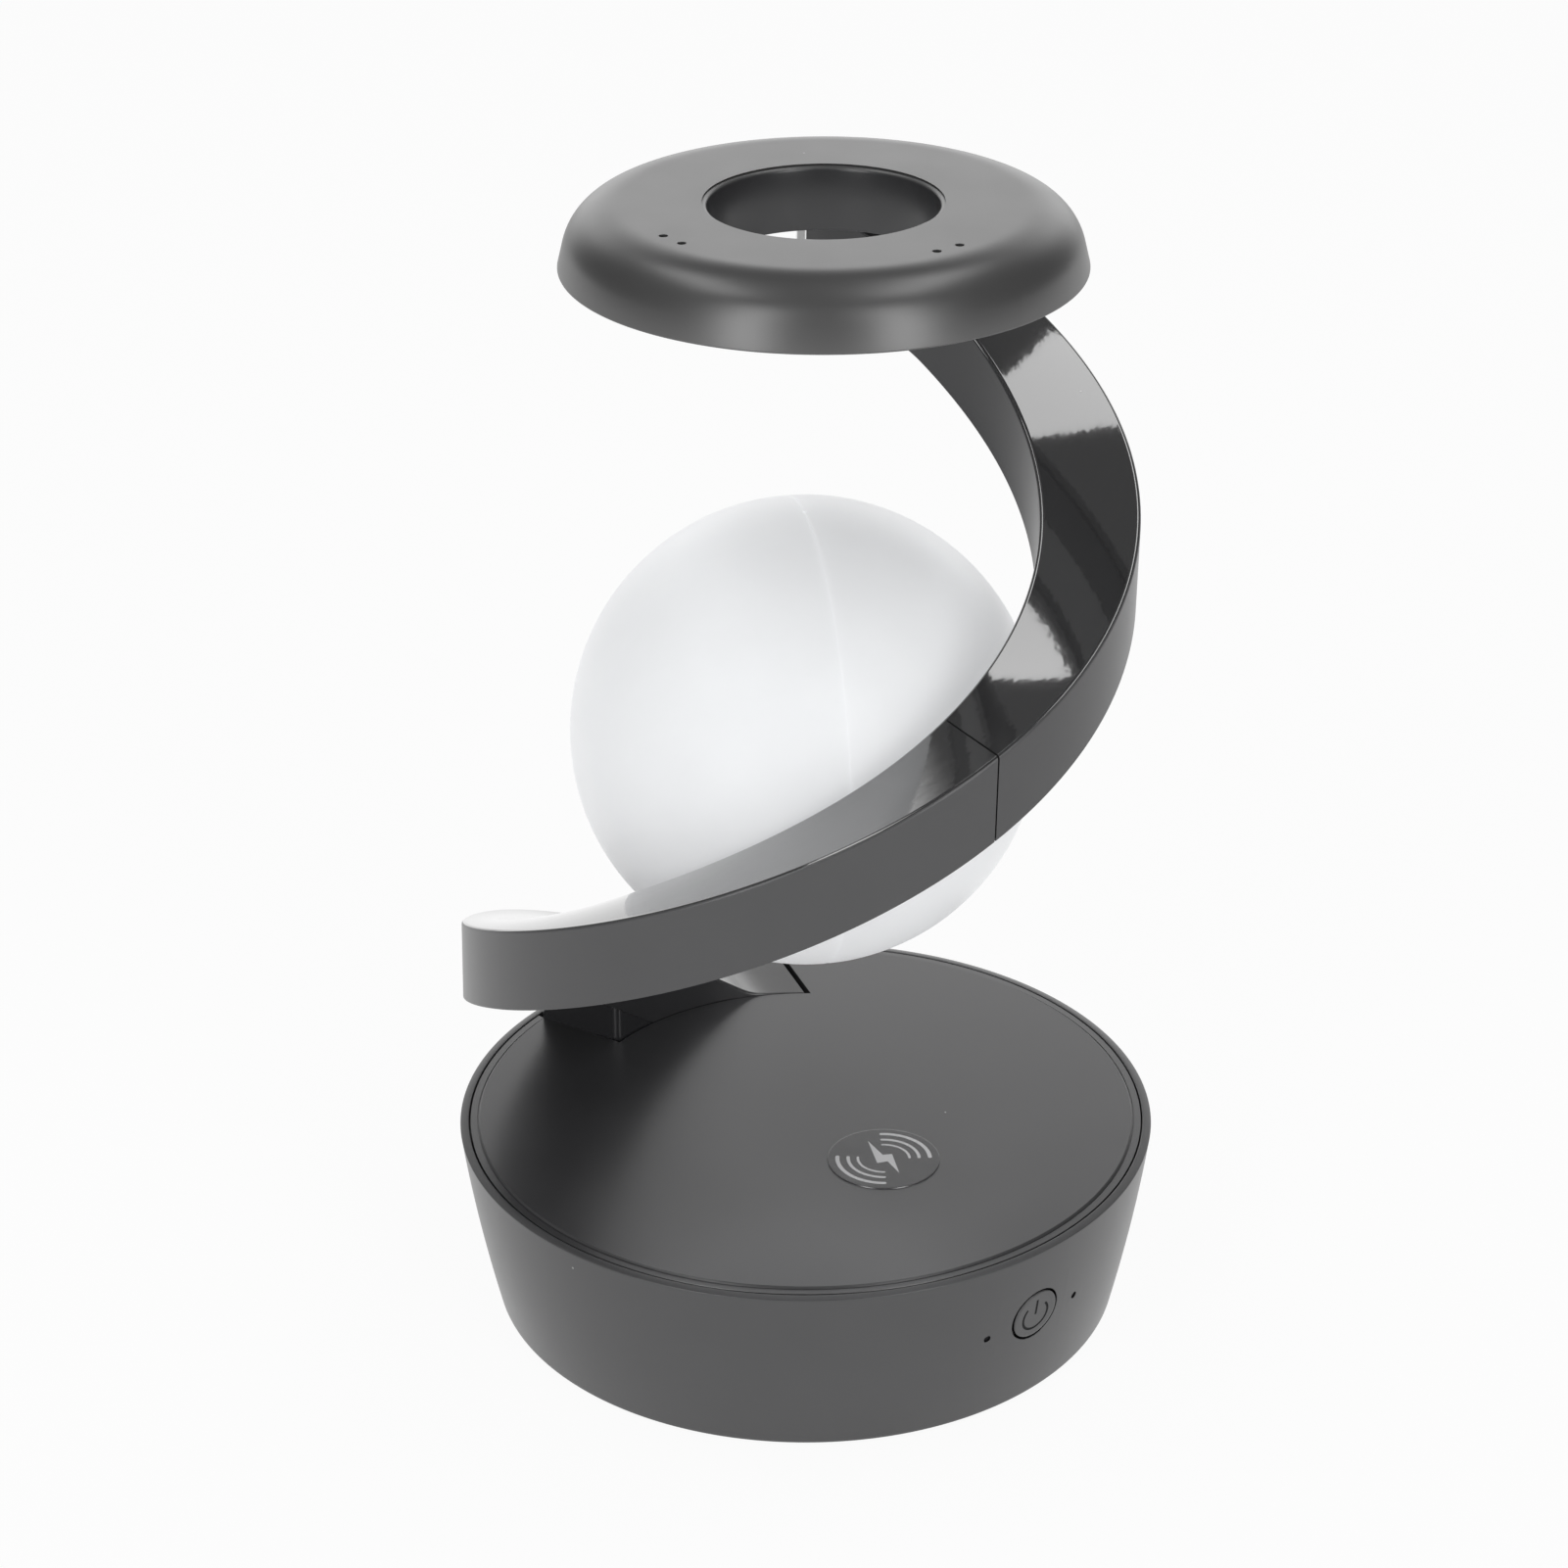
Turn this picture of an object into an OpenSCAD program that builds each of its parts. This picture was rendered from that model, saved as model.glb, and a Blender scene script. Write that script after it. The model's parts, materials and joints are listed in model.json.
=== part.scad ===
// Levitating ball lamp: a drum base with a phone-charging top, a spiral arm
// that climbs one turn, a ring-shaped lamp head and a glowing ball that hovers
// in the middle. Angles run counter-clockwise seen from above: 0 is the right,
// 90 the rear, 180 the left and 270 the front. Lengths are in millimetres.

/* [Base] */
// Outer diameter of the base at its rim
base_d = 150; // [140:0.5:170]
// Diameter of the base where its side meets the bottom edge
base_foot_d = 135.8; // [124:0.2:138]
// Height of the rim above the table
base_h = 40.8; // [38:0.2:56]
// How far the side wall bulges out of a straight taper
side_bulge = 0.55; // [0:0.05:1.2]
// Thickness of the base's side wall
base_wall = 1.9; // [1.5:0.1:2.2]
// Thickness of the top plate
plate_t = 2.4; // [1.8:0.1:3]
// Groove between the rim and the top plate
plate_gap = 0.3; // [0.2:0.05:0.5]
// Width of the sloped band around the top plate
plate_band = 1.2; // [0.6:0.1:2]
// Height of the sloped band
band_drop = 0.5; // [0.2:0.1:0.9]
// Thickness of the bottom cover
cover_t = 2.4; // [2:0.1:3.2]
// How far the rubber feet stand out of the bottom
foot_out = 0.8; // [0.4:0.1:1.2]
// Diameter of a rubber foot
pad_d = 12; // [8:0.5:14]
// Distance of the rubber feet from the centre
pad_ring_r = 52; // [46:0.5:54]

/* [Arm] */
// Inner radius of the spiral where it wraps the ball
arm_in_r = 50; // [48:0.25:52]
// Inner radius of the spiral under the lamp head
arm_in_end_r = 37.5; // [34:0.25:42]
// Outer radius of the spiral at its start
arm_out_r = 73.7; // [72.5:0.1:74.6]
// Outer radius of the spiral at its end
arm_out_end_r = 53.8; // [51:0.1:60]
// Height of the arm's band
arm_band = 18.4; // [14:0.2:22]
// Climb of the arm in one full turn
turn_rise = 198; // [190:0.5:230]
// Thickness of the arm mouldings
arm_wall = 2.2; // [1.6:0.1:2.6]
// Rounding of the arm's top edges
arm_edge = 0.8; // [0.3:0.1:1.2]
// Angle at which the arm leaves the top plate
arm_start = 90.3; // [88:0.1:93]
// Angle of the seam between the two arm mouldings
seam_az = 300.4; // [280:0.2:320]
// Width of the slit in the top plate at the arm's start
slit_w = 1.3; // [1:0.1:3]
// Angle at which the foot under the arm ends
foot_end = 146; // [140:1:152]

/* [Lamp head] */
// Outer diameter of the lamp head
head_d = 104.6; // [96:0.2:110]
// Height of the lamp head
head_h = 12.8; // [12:0.2:18]
// Diameter of the hole through the lamp head
head_hole_d = 45.5; // [40:0.5:50]
// Height of the upright part of the lamp head's side
head_side_h = 3.9; // [3:0.1:6]
// Diameter of the flat on top of the lamp head
head_flat_d = 80; // [72:0.5:86]
// Wall thickness of the lamp head's shell
head_wall = 2; // [1.6:0.1:2.4]
// Shift of the lamp head to the right of the base's centre
head_shift = 3.8; // [0:0.1:4.5]

/* [Ball] */
// Gap between the ball and the inner wall of the arm
ball_gap = 1.2; // [1:0.1:5]
// Wall thickness of the ball
ball_wall = 1.6; // [1.2:0.1:2.4]
// Height of the ball's centre above the top plate
hover_h = 90.1; // [84:0.1:100]
// Distance of the ball's centre behind the base's centre
hover_y = 2; // [0:0.25:3]
// Angle of the seam around the ball
ball_seam_az = 281; // [260:1:300]

/* [Controls] */
// Diameter of the power button
button_d = 11.6; // [9:0.1:13]
// Angle of the power button on the side wall
button_az = 311; // [309:0.5:313]
// Distance of the power button below the rim
button_down = 17; // [14:0.1:19]
// Travel of the power button
button_travel = 0.6; // [0.3:0.05:0.8]
// Diameter of the charging mark on the top plate
mark_d = 24; // [18:0.2:30]
// Distance of the charging mark from the centre
mark_r = 27.6; // [24:0.2:34]
// Angle of the charging mark
mark_az = 307; // [296:1:316]

/* [Hidden] */
$fn = 96;

// Colours of the finishes
shell_grey = [0.33, 0.33, 0.34];
gloss_grey = [0.25, 0.25, 0.26];
black_plastic = [0.12, 0.12, 0.13];
copper = [0.72, 0.42, 0.24];
board_green = [0.10, 0.32, 0.18];
bright_metal = [0.75, 0.76, 0.78];
ferrite_grey = [0.28, 0.27, 0.27];
milk_white = [0.93, 0.94, 0.95];

// Clearances
fit = 0.15;
seat_gap = 0.3;
slide_gap = 0.3;
plunger_gap = 0.06;

// Base heights and radii
base_r = base_d / 2;
base_foot_r = base_foot_d / 2;
rim_z = base_h;
side_h = rim_z - foot_out;
rim_in_r = base_r - base_wall;
plate_r = rim_in_r - plate_gap;
plate_z = rim_z - plate_t;
cover_z = foot_out + cover_t;
pad_r = pad_d / 2;
pad_edge = 0.4;
ledge_w = 3;
ledge_t = 2;
cover_r = base_foot_r - base_wall - fit;

// Radius of the side wall at a depth below the rim
function side_r(depth) =
    let(t = depth / side_h)
    base_r + (base_foot_r - base_r) * t + side_bulge * 4 * t * (1 - t);

// Screws and screw posts of the bottom cover
screw_r = 1.5;
screw_head_r = 2.8;
screw_head_t = 1.6;
post_r = 3.6;
post_ring_r = base_foot_r - base_wall - post_r - 0.4;
post_az = [20, 110, 200, 290];
post_top = foot_out + 22;
screw_len = 14;

// Spiral arm
arm_end = arm_start + 366.7;
climb = turn_rise / 360;
climb_az = arm_start + 3.3;
ease_drop = 3.75;
ease_az = arm_start + 9.7;
ease_span = 50;
nose_t = 3;
nose_skew = 6.2;
nose_blend = 22;
arm_step = 3.5;
rim_clear = 0.3;
nose_out_r = rim_in_r - plate_gap - 0.2;
level_cut = 7.5;
tuck_in = 10.3;
tuck_span = 40;
turn_in_power = 0.9;
draw_in_az = 178;
draw_in_power = 1.75;

// Height of the arm's top face above the plate, before the head cuts it level
function raw_rise(a) = climb * (a - climb_az) - ease_drop * exp(-(a - ease_az) / ease_span);

head_z = rim_z + raw_rise(arm_end) - level_cut;

// Top and underside of the arm
function arm_top(a) = rim_z + min(max(0, raw_rise(a)), head_z - rim_z - rim_clear);
function arm_under(a) = max(arm_top(a) - arm_band, min(rim_z + rim_clear, arm_top(a) - nose_t));

// A soft step from 0 to 1
function soft(t) = let(c = min(1, max(0, t))) (1 - cos(180 * c)) / 2;

// Share of the way along the arm
function along(a) = (a - arm_start) / (arm_end - arm_start);

// Inner and outer radius of the arm
function tuck(a) = tuck_in * soft((a - arm_end + tuck_span) / tuck_span);
function arm_in(a) =
    let(share = pow(soft(2 * along(a) - 1), turn_in_power))
    arm_in_r + (arm_in_end_r - arm_in_r) * share - tuck(a);
function arm_out(a) =
    let(
        share = pow(max(0, (a - draw_in_az) / (arm_end - draw_in_az)), draw_in_power),
        full = arm_out_r + (arm_out_end_r - arm_out_r) * share
    )
    full - max(0, full - nose_out_r) * (1 - soft((a - arm_start - 16.7) / 34)) - tuck(a);

// The arm leans to the right as it climbs, up to the shift of the lamp head
function lean(z) = [head_shift * max(0, z - rim_z) / (head_z - rim_z), 0, 0];

// A point of the arm: the first stretch is skewed, as the slit in the plate is
function skew(a) = nose_skew * max(0, 1 - (a - arm_start) / nose_blend);
function polar(r, a, z) = [r * cos(a), r * sin(a), z];
function arm_point(a, r, z) =
    let(t = (r - arm_in(a)) / (arm_out(a) - arm_in(a)))
    polar(arm_in(a), a, z) * (1 - t) + polar(arm_out(a), a + skew(a), z) * t + lean(z);

// Angles from one to another in near equal steps
function angles(from, to, step) =
    let(n = ceil((to - from) / step))
    [for (i = [0:n]) from + (to - from) * i / n];

// Section of an arm moulding: a channel that is open below
function channel_section(a) =
    let(ri = arm_in(a), ro = arm_out(a), zt = arm_top(a), zb = arm_under(a), w = arm_wall, e = arm_edge)
    [
        [ro, zb], [ro, zt - e], [ro - 0.3 * e, zt - 0.3 * e], [ro - e, zt],
        [ri + e, zt], [ri + 0.3 * e, zt - 0.3 * e], [ri, zt - e], [ri, zb],
        [ri + w, zb], [ri + w, zt - w], [ro - w, zt - w], [ro - w, zb]
    ];
channel_ends = [[0, 1, 10, 11], [1, 2, 3, 4, 5, 6, 9, 10], [6, 7, 8, 9]];

// Section of a strip between the channel's walls, from one height to another
function strip_section(a, low, high) =
    let(ri = arm_in(a) + arm_wall + fit, ro = arm_out(a) - arm_wall - fit)
    [[ro, low], [ro, high], [ri, high], [ri, low]];

// Rings of points for a section that follows the arm
function arm_rings(list, section) = [for (a = list) [for (p = section(a)) arm_point(a, p[0], p[1])]];

// A closed solid through rings of points. A section that isn't convex names the
// convex pieces of its end faces, each as the numbers of its points
module loft(rings, ends = []) {
    n = len(rings[0]);
    m = len(rings);
    points = [for (r = rings) each r];
    pieces = len(ends) > 0 ? ends : [[for (k = [0:n - 1]) k]];
    sides = [
        for (i = [0:m - 2], k = [0:n - 1])
        let(a = i * n + k, b = i * n + (k + 1) % n, c = a + n, d = b + n)
        each [[a, b, d], [a, d, c]]
    ];
    first = [for (p = pieces) [for (i = [len(p) - 1:-1:0]) p[i]]];
    last = [for (p = pieces) [for (k = p) (m - 1) * n + k]];
    polyhedron(points, concat(sides, first, last), convexity = 10);
}

// Foot block under the arm and the shelf in the base that carries it
foot_inset = 2.5;
foot_wall_gap = 1.9;
foot_r = min(arm_out_r - foot_inset, rim_in_r - foot_wall_gap);
foot_depth = 8;
shelf_t = 3;
shelf_in_r = arm_in_r - 0.6;
foot_screw_r = (arm_in_r + foot_r) / 2;
foot_screw_az = [106, 121, 136];
foot_screw_len = 9;
foot_pilot_r = 1.5;

// Wire duct up through the foot
duct_az = 128;
duct_r = 2;

// Underside cover of the arm, plug across the seam and cap at the end
strip_t = 1.6;
plug_reach = 12;
plug_wall = 1.2;
cap_sweep = 2;
seam_gap = 0.12;

// Lamp head
head_r = head_d / 2;
hole_r = head_hole_d / 2;
head_top = head_z + head_h;
head_lip = 1.24;
head_base_t = 2;
head_base_z = head_z + 0.4;
head_base_top = head_base_z + head_base_t;
window_in_r = hole_r + 4.5;
window_out_r = window_in_r + 12.5;
head_board_z = head_base_top + 3.4;
head_board_t = 1.2;
head_board_top = head_board_z + head_board_t;
head_base_r = head_r - head_wall - head_lip * (head_base_top - head_z) / head_side_h - fit;
head_post_r = 2.6;
head_post_ring = window_out_r + 3.4;
head_post_az = [15, 105, 195, 285];
head_screw_len = 7;
hole_lip = 0.8;
hole_edge = 1.4;
vent_r = 0.95;
vent_ring_r = 37.2;
vent_az = [214.8, 223.6, 304.6, 313.3];

// Neck between the arm and the lamp head
neck_start = arm_end - 42;
neck_end = climb_az + (head_z - rim_z - rim_clear) / climb - 1;
neck_in_r = arm_in_end_r + 3;
neck_out_r = neck_in_r + 6;
neck_duct_az = arm_end - 28.5;
neck_grip = 3;
neck_screw_az = [neck_start + 5, neck_end - 5];

// Ball
ball_r = arm_in_r - ball_gap;
ball_in_r = ball_r - ball_wall;
ball_z = rim_z + hover_h;
ball_plate_z = -6;
ball_magnet_r = 15;
ball_magnet_h = 8;
ball_flange_up = 12.2;
ball_flange_z = ball_flange_up - ball_in_r;
ball_frame_t = 2;
ball_board_r = 24;
board_t = 1.6;

// Inside of the base
carrier_z = plate_z - 13.6;
carrier_t = 2.4;
magnet_in_r = 29;
magnet_out_r = 44;
magnet_h = 8;
cup_wall = 1.8;
cup_depth = 6;
coil_r = 8.2;
coil_core_r = 3;
coil_ring_r = 17.6;
coil_h = 13;
power_coil_w = 3.6;
power_coil_h = 2.2;
leg_r = 3;
leg_ring_r = 40;
board_z = cover_z + 5;
board_x = 48;
board_y = 36;
standoff_r = 2.2;
charge_coil_r = 20;
charge_coil_in_r = 9;
charge_coil_t = 1.1;
shield_t = 0.8;
mark_t = 0.2;
mark_x = mark_r * cos(mark_az);
mark_y = mark_r * sin(mark_az);

// Inlet at the rear
inlet_z = foot_out + 12;
inlet_w = 8.9;
inlet_h = 3.2;
inlet_d = 7.4;
inlet_wall = 0.3;
inlet_inset = 0.8;
inlet_y = side_r(rim_z - inlet_z) - inlet_inset;
inlet_board_t = 1.2;
inlet_board_w = 12;
inlet_board_z = inlet_z - inlet_h / 2 - inlet_board_t;
inlet_wall_r = side_r(rim_z - inlet_board_z) - base_wall - fit;
inlet_board_y = sqrt(pow(inlet_wall_r, 2) - pow(inlet_board_w / 2, 2));

// Power button: its axis is square to the side wall
button_z = rim_z - button_down;
button_tilt = atan2(side_r(button_down - 1) - side_r(button_down + 1), 2);
button_r = button_d / 2;
button_cap_t = base_wall + 0.6;
button_flange_t = 1.2;
button_flange_w = 1;
stem_r = 2.2;
stem_len = 3.2;
switch_w = 6;
switch_h = 3.4;
plunger_r = 1.7;
plunger_out = 1.2;
rail_side = button_r + button_flange_w + 0.5;
rail_w = 2.2;
rail_h = 9;
button_board_w = 2 * rail_side + 2.4;
pin_r = 0.65;
pin_side = 9.9;
pin_down = 1.4;
pin_len = 5;

// Distances inwards along the button's axis
flange_in = button_cap_t + button_flange_t;
stem_in = flange_in + stem_len;
switch_in = stem_in + plunger_out;
button_board_in = switch_in + switch_h;
rail_reach = button_board_in + board_t + 1;

// Places a child with +Z pointing out of the side wall at the button
module at_button(down = 0, turn = 0) {
    rotate([0, 0, button_az + turn])
        translate([side_r(button_down + down), 0, button_z - down])
            rotate([0, 90 + button_tilt, 0])
                children();
}

// Straight-sided piece of the slit and foot outline, seen from above
function slit_shift(p) =
    let(a = arm_start, q = polar(arm_out(a), a + skew(a), 0) - polar(arm_in(a), a, 0))
    [p[0] + slit_w * q[1] / norm(q), p[1] - slit_w * q[0] / norm(q)];
function flat(p) = [p[0], p[1]];
module arm_opening_plan(side_gap) {
    a = arm_start;
    inside_r = arm_in_r - 8;
    outside_r = base_r + 20;
    end_az = foot_end + atan2(side_gap, arm_in_r);
    mid_az = (a + foot_end) / 2 + 8;
    polygon([
        slit_shift(arm_point(a, inside_r, 0)),
        slit_shift(arm_point(a, outside_r, 0)),
        flat(polar(outside_r + 40, mid_az, 0)),
        flat(polar(outside_r + 10, end_az, 0)),
        flat(polar(inside_r, end_az, 0))
    ]);
}
module arm_opening(inner_r, outer_r, low, high) {
    translate([0, 0, low])
        linear_extrude(high - low)
            intersection() {
                arm_opening_plan(plate_gap);
                difference() {
                    circle(outer_r);
                    circle(inner_r);
                }
            }
}

// Drum of the base with its rim, ledge, screw posts and shelf
side_steps = 8;
rim_edge = 0.4;
function side_point(i, inset) =
    let(depth = side_h * i / side_steps)
    [side_r(depth) - inset, rim_z - depth];
module base_wall_profile() {
    ledge_z = plate_z - ledge_t;
    inside = [for (i = [side_steps:-1:1]) side_point(i, base_wall)];
    polygon(concat(
        [[base_r - rim_edge, rim_z], [side_r(rim_edge), rim_z - rim_edge]],
        [for (i = [1:side_steps]) side_point(i, 0)],
        [for (p = inside) if (p[1] < ledge_z - ledge_w) p],
        [
            [side_r(rim_z - ledge_z + ledge_w) - base_wall, ledge_z - ledge_w],
            [rim_in_r - ledge_w, ledge_z],
            [rim_in_r - ledge_w, plate_z],
            [rim_in_r, plate_z],
            [rim_in_r, rim_z]
        ]
    ));
}
function post_rib(z) = [side_r(rim_z - z) - base_wall / 2, z];
module base_post(a) {
    reach_r = side_r(rim_z - post_top);
    rotate([0, 0, a]) {
        translate([post_ring_r, 0, cover_z])
            cylinder(r = post_r, h = post_top - cover_z);
        intersection() {
            translate([post_ring_r, -1, cover_z])
                cube([reach_r - post_ring_r, 2, post_top - cover_z]);
            rotate_extrude()
                polygon([
                    [0, cover_z], post_rib(cover_z),
                    post_rib((cover_z + post_top) / 2),
                    post_rib(post_top), [0, post_top]
                ]);
        }
    }
}
module foot_shelf() {
    low = rim_z - foot_depth - shelf_t;
    intersection() {
        rotate_extrude()
            translate([shelf_in_r, low])
                square([side_r(rim_z - low) - 0.9 - shelf_in_r, shelf_t]);
        translate([0, 0, low])
            linear_extrude(shelf_t)
                arm_opening_plan(2);
    }
}
module base_shell() color(shell_grey) {
    difference() {
        union() {
            difference() {
                rotate_extrude()
                    base_wall_profile();
                arm_opening(arm_in_r - 2, rim_in_r - 0.01, rim_z - foot_depth, rim_z + 1);
            }
            for (a = post_az)
                base_post(a);
            foot_shelf();
            for (y = [-rail_side - rail_w, rail_side])
                at_button()
                    translate([-rail_h / 2, y, -rail_reach])
                        cube([rail_h, rail_w, rail_reach - base_wall * 0.3]);
        }
        for (a = post_az)
            rotate([0, 0, a])
                translate([post_ring_r, 0, cover_z - 1])
                    cylinder(r = screw_r, h = screw_len - cover_t + 2.6);
        at_button()
            translate([0, 0, -base_wall - 3])
                cylinder(r = button_r + slide_gap, h = base_wall + 6);
        at_button()
            translate([0, 0, -button_board_in])
                cylinder(r = button_r + button_flange_w + slide_gap, h = button_board_in - base_wall - 0.35);
        at_button()
            translate([-rail_h, -button_board_w / 2 - fit, -button_board_in - board_t])
                cube([2 * rail_h, button_board_w + 2 * fit, board_t + fit]);
        for (s = [-1, 1])
            at_button(pin_down, s * pin_side)
                translate([0, 0, -pin_len])
                    cylinder(r = pin_r + 0.1, h = 2 * pin_len);
        translate([0, inlet_y + 2, inlet_z])
            cube([inlet_w + 0.8, 6 * base_wall, inlet_h + 0.8], center = true);
        for (a = foot_screw_az)
            rotate([0, 0, a])
                translate([foot_screw_r, 0, rim_z - foot_depth - shelf_t - 1])
                    cylinder(r = foot_pilot_r + 0.2, h = shelf_t + 2);
        rotate([0, 0, duct_az])
            translate([foot_screw_r, 0, rim_z - foot_depth - shelf_t - 1])
                cylinder(r = duct_r + 0.4, h = shelf_t + 2);
    }
}

module top_plate() color(shell_grey) {
    difference() {
        rotate_extrude()
            polygon([
                [0, plate_z + fit], [plate_r, plate_z + fit], [plate_r, rim_z - band_drop],
                [plate_r - plate_band, rim_z], [0, rim_z]
            ]);
        arm_opening(arm_in_r - plate_gap, base_r + 5, plate_z - 1, rim_z + 1);
    }
    translate([mark_x, mark_y, plate_z + fit - charge_coil_t - shield_t])
        difference() {
            cylinder(r = charge_coil_r + 2, h = charge_coil_t + shield_t);
            translate([0, 0, -1])
                cylinder(r = charge_coil_r + 0.4, h = charge_coil_t + shield_t + 2);
        }
}

module bottom_cover() color(black_plastic) {
    difference() {
        union() {
            translate([0, 0, foot_out])
                cylinder(r = cover_r, h = cover_t);
            for (x = [-1, 1], y = [-1, 1])
                translate([x * (board_x / 2 - 4), y * (board_y / 2 - 4), foot_out + 1])
                    cylinder(r = standoff_r, h = board_z - foot_out - 1);
            for (a = [45:90:315])
                rotate([0, 0, a])
                    translate([leg_ring_r, 0, foot_out + 1])
                        cylinder(r = leg_r, h = carrier_z - foot_out - 1);
            translate([-inlet_board_w / 2, inlet_board_y - inlet_d, foot_out + 1])
                cube([inlet_board_w, inlet_d - 2, inlet_board_z - foot_out - 1]);
        }
        for (a = [45:90:315])
            rotate([0, 0, a])
                translate([pad_ring_r, 0, foot_out - 1])
                    cylinder(r = pad_r + 0.1, h = 2);
        for (a = post_az)
            rotate([0, 0, a])
                translate([post_ring_r, 0, foot_out]) {
                    translate([0, 0, -1])
                        cylinder(r = screw_r + 0.2, h = cover_t + 2);
                    translate([0, 0, -1])
                        cylinder(r = screw_head_r + 0.2, h = screw_head_t + 1);
                }
    }
}

module rubber_feet() color(black_plastic) {
    for (a = [45:90:315])
        rotate([0, 0, a])
            translate([pad_ring_r, 0, 0])
                rotate_extrude()
                    polygon([
                        [0, 0], [pad_r - pad_edge, 0], [pad_r, pad_edge],
                        [pad_r, foot_out + 1], [0, foot_out + 1]
                    ]);
}

module cover_screws() color(bright_metal) {
    for (a = post_az)
        rotate([0, 0, a])
            translate([post_ring_r, 0, foot_out + screw_head_t])
                mirror([0, 0, 1])
                    small_screw(screw_r - 0.1, screw_len - 0.6, screw_head_r, screw_head_t - 0.2, 1.4);
}

// A screw with its head above the origin and its shank below
module small_screw(shank_r, len, head_r, head_t, cross) {
    translate([0, 0, -len])
        cylinder(r = shank_r, h = len + 0.1);
    difference() {
        cylinder(r = head_r, h = head_t);
        for (a = [0, 90])
            rotate([0, 0, a])
                translate([-cross, -0.25, head_t - 0.8])
                    cube([2 * cross, 0.5, 1]);
    }
}

module ballast_ring() color(bright_metal) {
    translate([0, 0, cover_z])
        difference() {
            cylinder(r = post_ring_r - post_r - 0.6, h = 4);
            translate([0, 0, -1])
                cylinder(r = leg_ring_r + leg_r + 0.6, h = 6);
        }
}

// Carrier for the ring magnet, with a cup for the lifting coils
module magnet_carrier() color(black_plastic) {
    cup_r = magnet_in_r - 0.4;
    translate([0, hover_y, 0])
        rotate_extrude()
            polygon([
                [0, carrier_z - cup_depth], [cup_r, carrier_z - cup_depth],
                [cup_r, carrier_z], [magnet_out_r + power_coil_w + 0.8, carrier_z],
                [magnet_out_r + power_coil_w + 0.8, carrier_z + carrier_t],
                [cup_r - cup_wall, carrier_z + carrier_t],
                [cup_r - cup_wall, carrier_z - cup_depth + cup_wall], [0, carrier_z - cup_depth + cup_wall]
            ]);
}
module lift_magnet() color(ferrite_grey) {
    translate([0, hover_y, carrier_z + carrier_t])
        difference() {
            cylinder(r = magnet_out_r, h = magnet_h);
            translate([0, 0, -1])
                cylinder(r = magnet_in_r, h = magnet_h + 2);
        }
}
module lift_coils() color(copper) {
    for (a = [45:90:315])
        translate([0, hover_y, carrier_z - cup_depth + cup_wall])
            rotate([0, 0, a])
                translate([coil_ring_r, 0, 0])
                    rotate_extrude()
                        polygon([
                            [coil_core_r, 0], [coil_r, 0], [coil_r, 1], [coil_r - 0.8, 1],
                            [coil_r - 0.8, coil_h - 1], [coil_r, coil_h - 1],
                            [coil_r, coil_h], [coil_core_r, coil_h]
                        ]);
}
module hall_board() color(board_green) {
    translate([0, hover_y, carrier_z - cup_depth + cup_wall]) {
        cylinder(r = 3, h = coil_h - 4);
        translate([0, 0, coil_h - 4])
            cylinder(r = 8.6, h = board_t);
        for (a = [0, 120, 240])
            rotate([0, 0, a])
                translate([3.2, -1.5, coil_h - 4 + board_t])
                    cube([2, 3, 1.4]);
    }
}
module power_coil() color(copper) {
    translate([0, hover_y, carrier_z + carrier_t])
        difference() {
            cylinder(r = magnet_out_r + 0.5 + power_coil_w, h = power_coil_h);
            translate([0, 0, -1])
                cylinder(r = magnet_out_r + 0.5, h = 5);
        }
}

// Phone-charging coil on its shield, under the mark
module charge_coil() color(copper) {
    translate([mark_x, mark_y, plate_z + fit - charge_coil_t])
        difference() {
            cylinder(r = charge_coil_r, h = charge_coil_t);
            translate([0, 0, -1])
                cylinder(r = charge_coil_in_r, h = charge_coil_t + 2);
        }
}
module charge_shield() color(ferrite_grey) {
    translate([mark_x, mark_y, plate_z + fit - charge_coil_t - shield_t])
        cylinder(r = charge_coil_r, h = shield_t);
}
module charge_mark() color(gloss_grey) {
    translate([mark_x, mark_y, rim_z])
        cylinder(d = mark_d, h = mark_t);
}

module control_board() color(board_green) {
    translate([-board_x / 2, -board_y / 2, board_z])
        cube([board_x, board_y, board_t]);
}
module board_parts() color(black_plastic) {
    translate([0, 0, board_z + board_t]) {
        translate([-6, -5, 0])
            cube([12, 10, 1.2]);
        for (x = [-18, -10, 12])
            translate([x, 9, 0])
                cylinder(r = 2.5, h = 3.4);
        translate([-20, -12, 0])
            cube([8, 6, 2.2]);
        translate([12, -12, 0])
            cube([7, 7, 2.6]);
    }
}

// Charging inlet at the rear, on its own small board
module inlet_board() color(board_green) {
    translate([-inlet_board_w / 2, inlet_board_y - inlet_d, inlet_board_z])
        cube([inlet_board_w, inlet_d, inlet_board_t]);
}
module rounded_slot(w, h) {
    hull()
        for (s = [-1, 1])
            translate([s * (w - h) / 2, 0])
                circle(d = h, $fn = 32);
}
module usb_inlet() color(bright_metal) {
    translate([0, inlet_y, inlet_z])
        rotate([90, 0, 0]) {
            difference() {
                linear_extrude(inlet_d)
                    rounded_slot(inlet_w, inlet_h);
                translate([0, 0, -1])
                    linear_extrude(inlet_d - 0.4)
                        rounded_slot(inlet_w - 2 * inlet_wall, inlet_h - 2 * inlet_wall);
            }
            translate([-3.2, -0.35, 1])
                cube([6.4, 0.7, inlet_d - 1.3]);
        }
}

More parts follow.
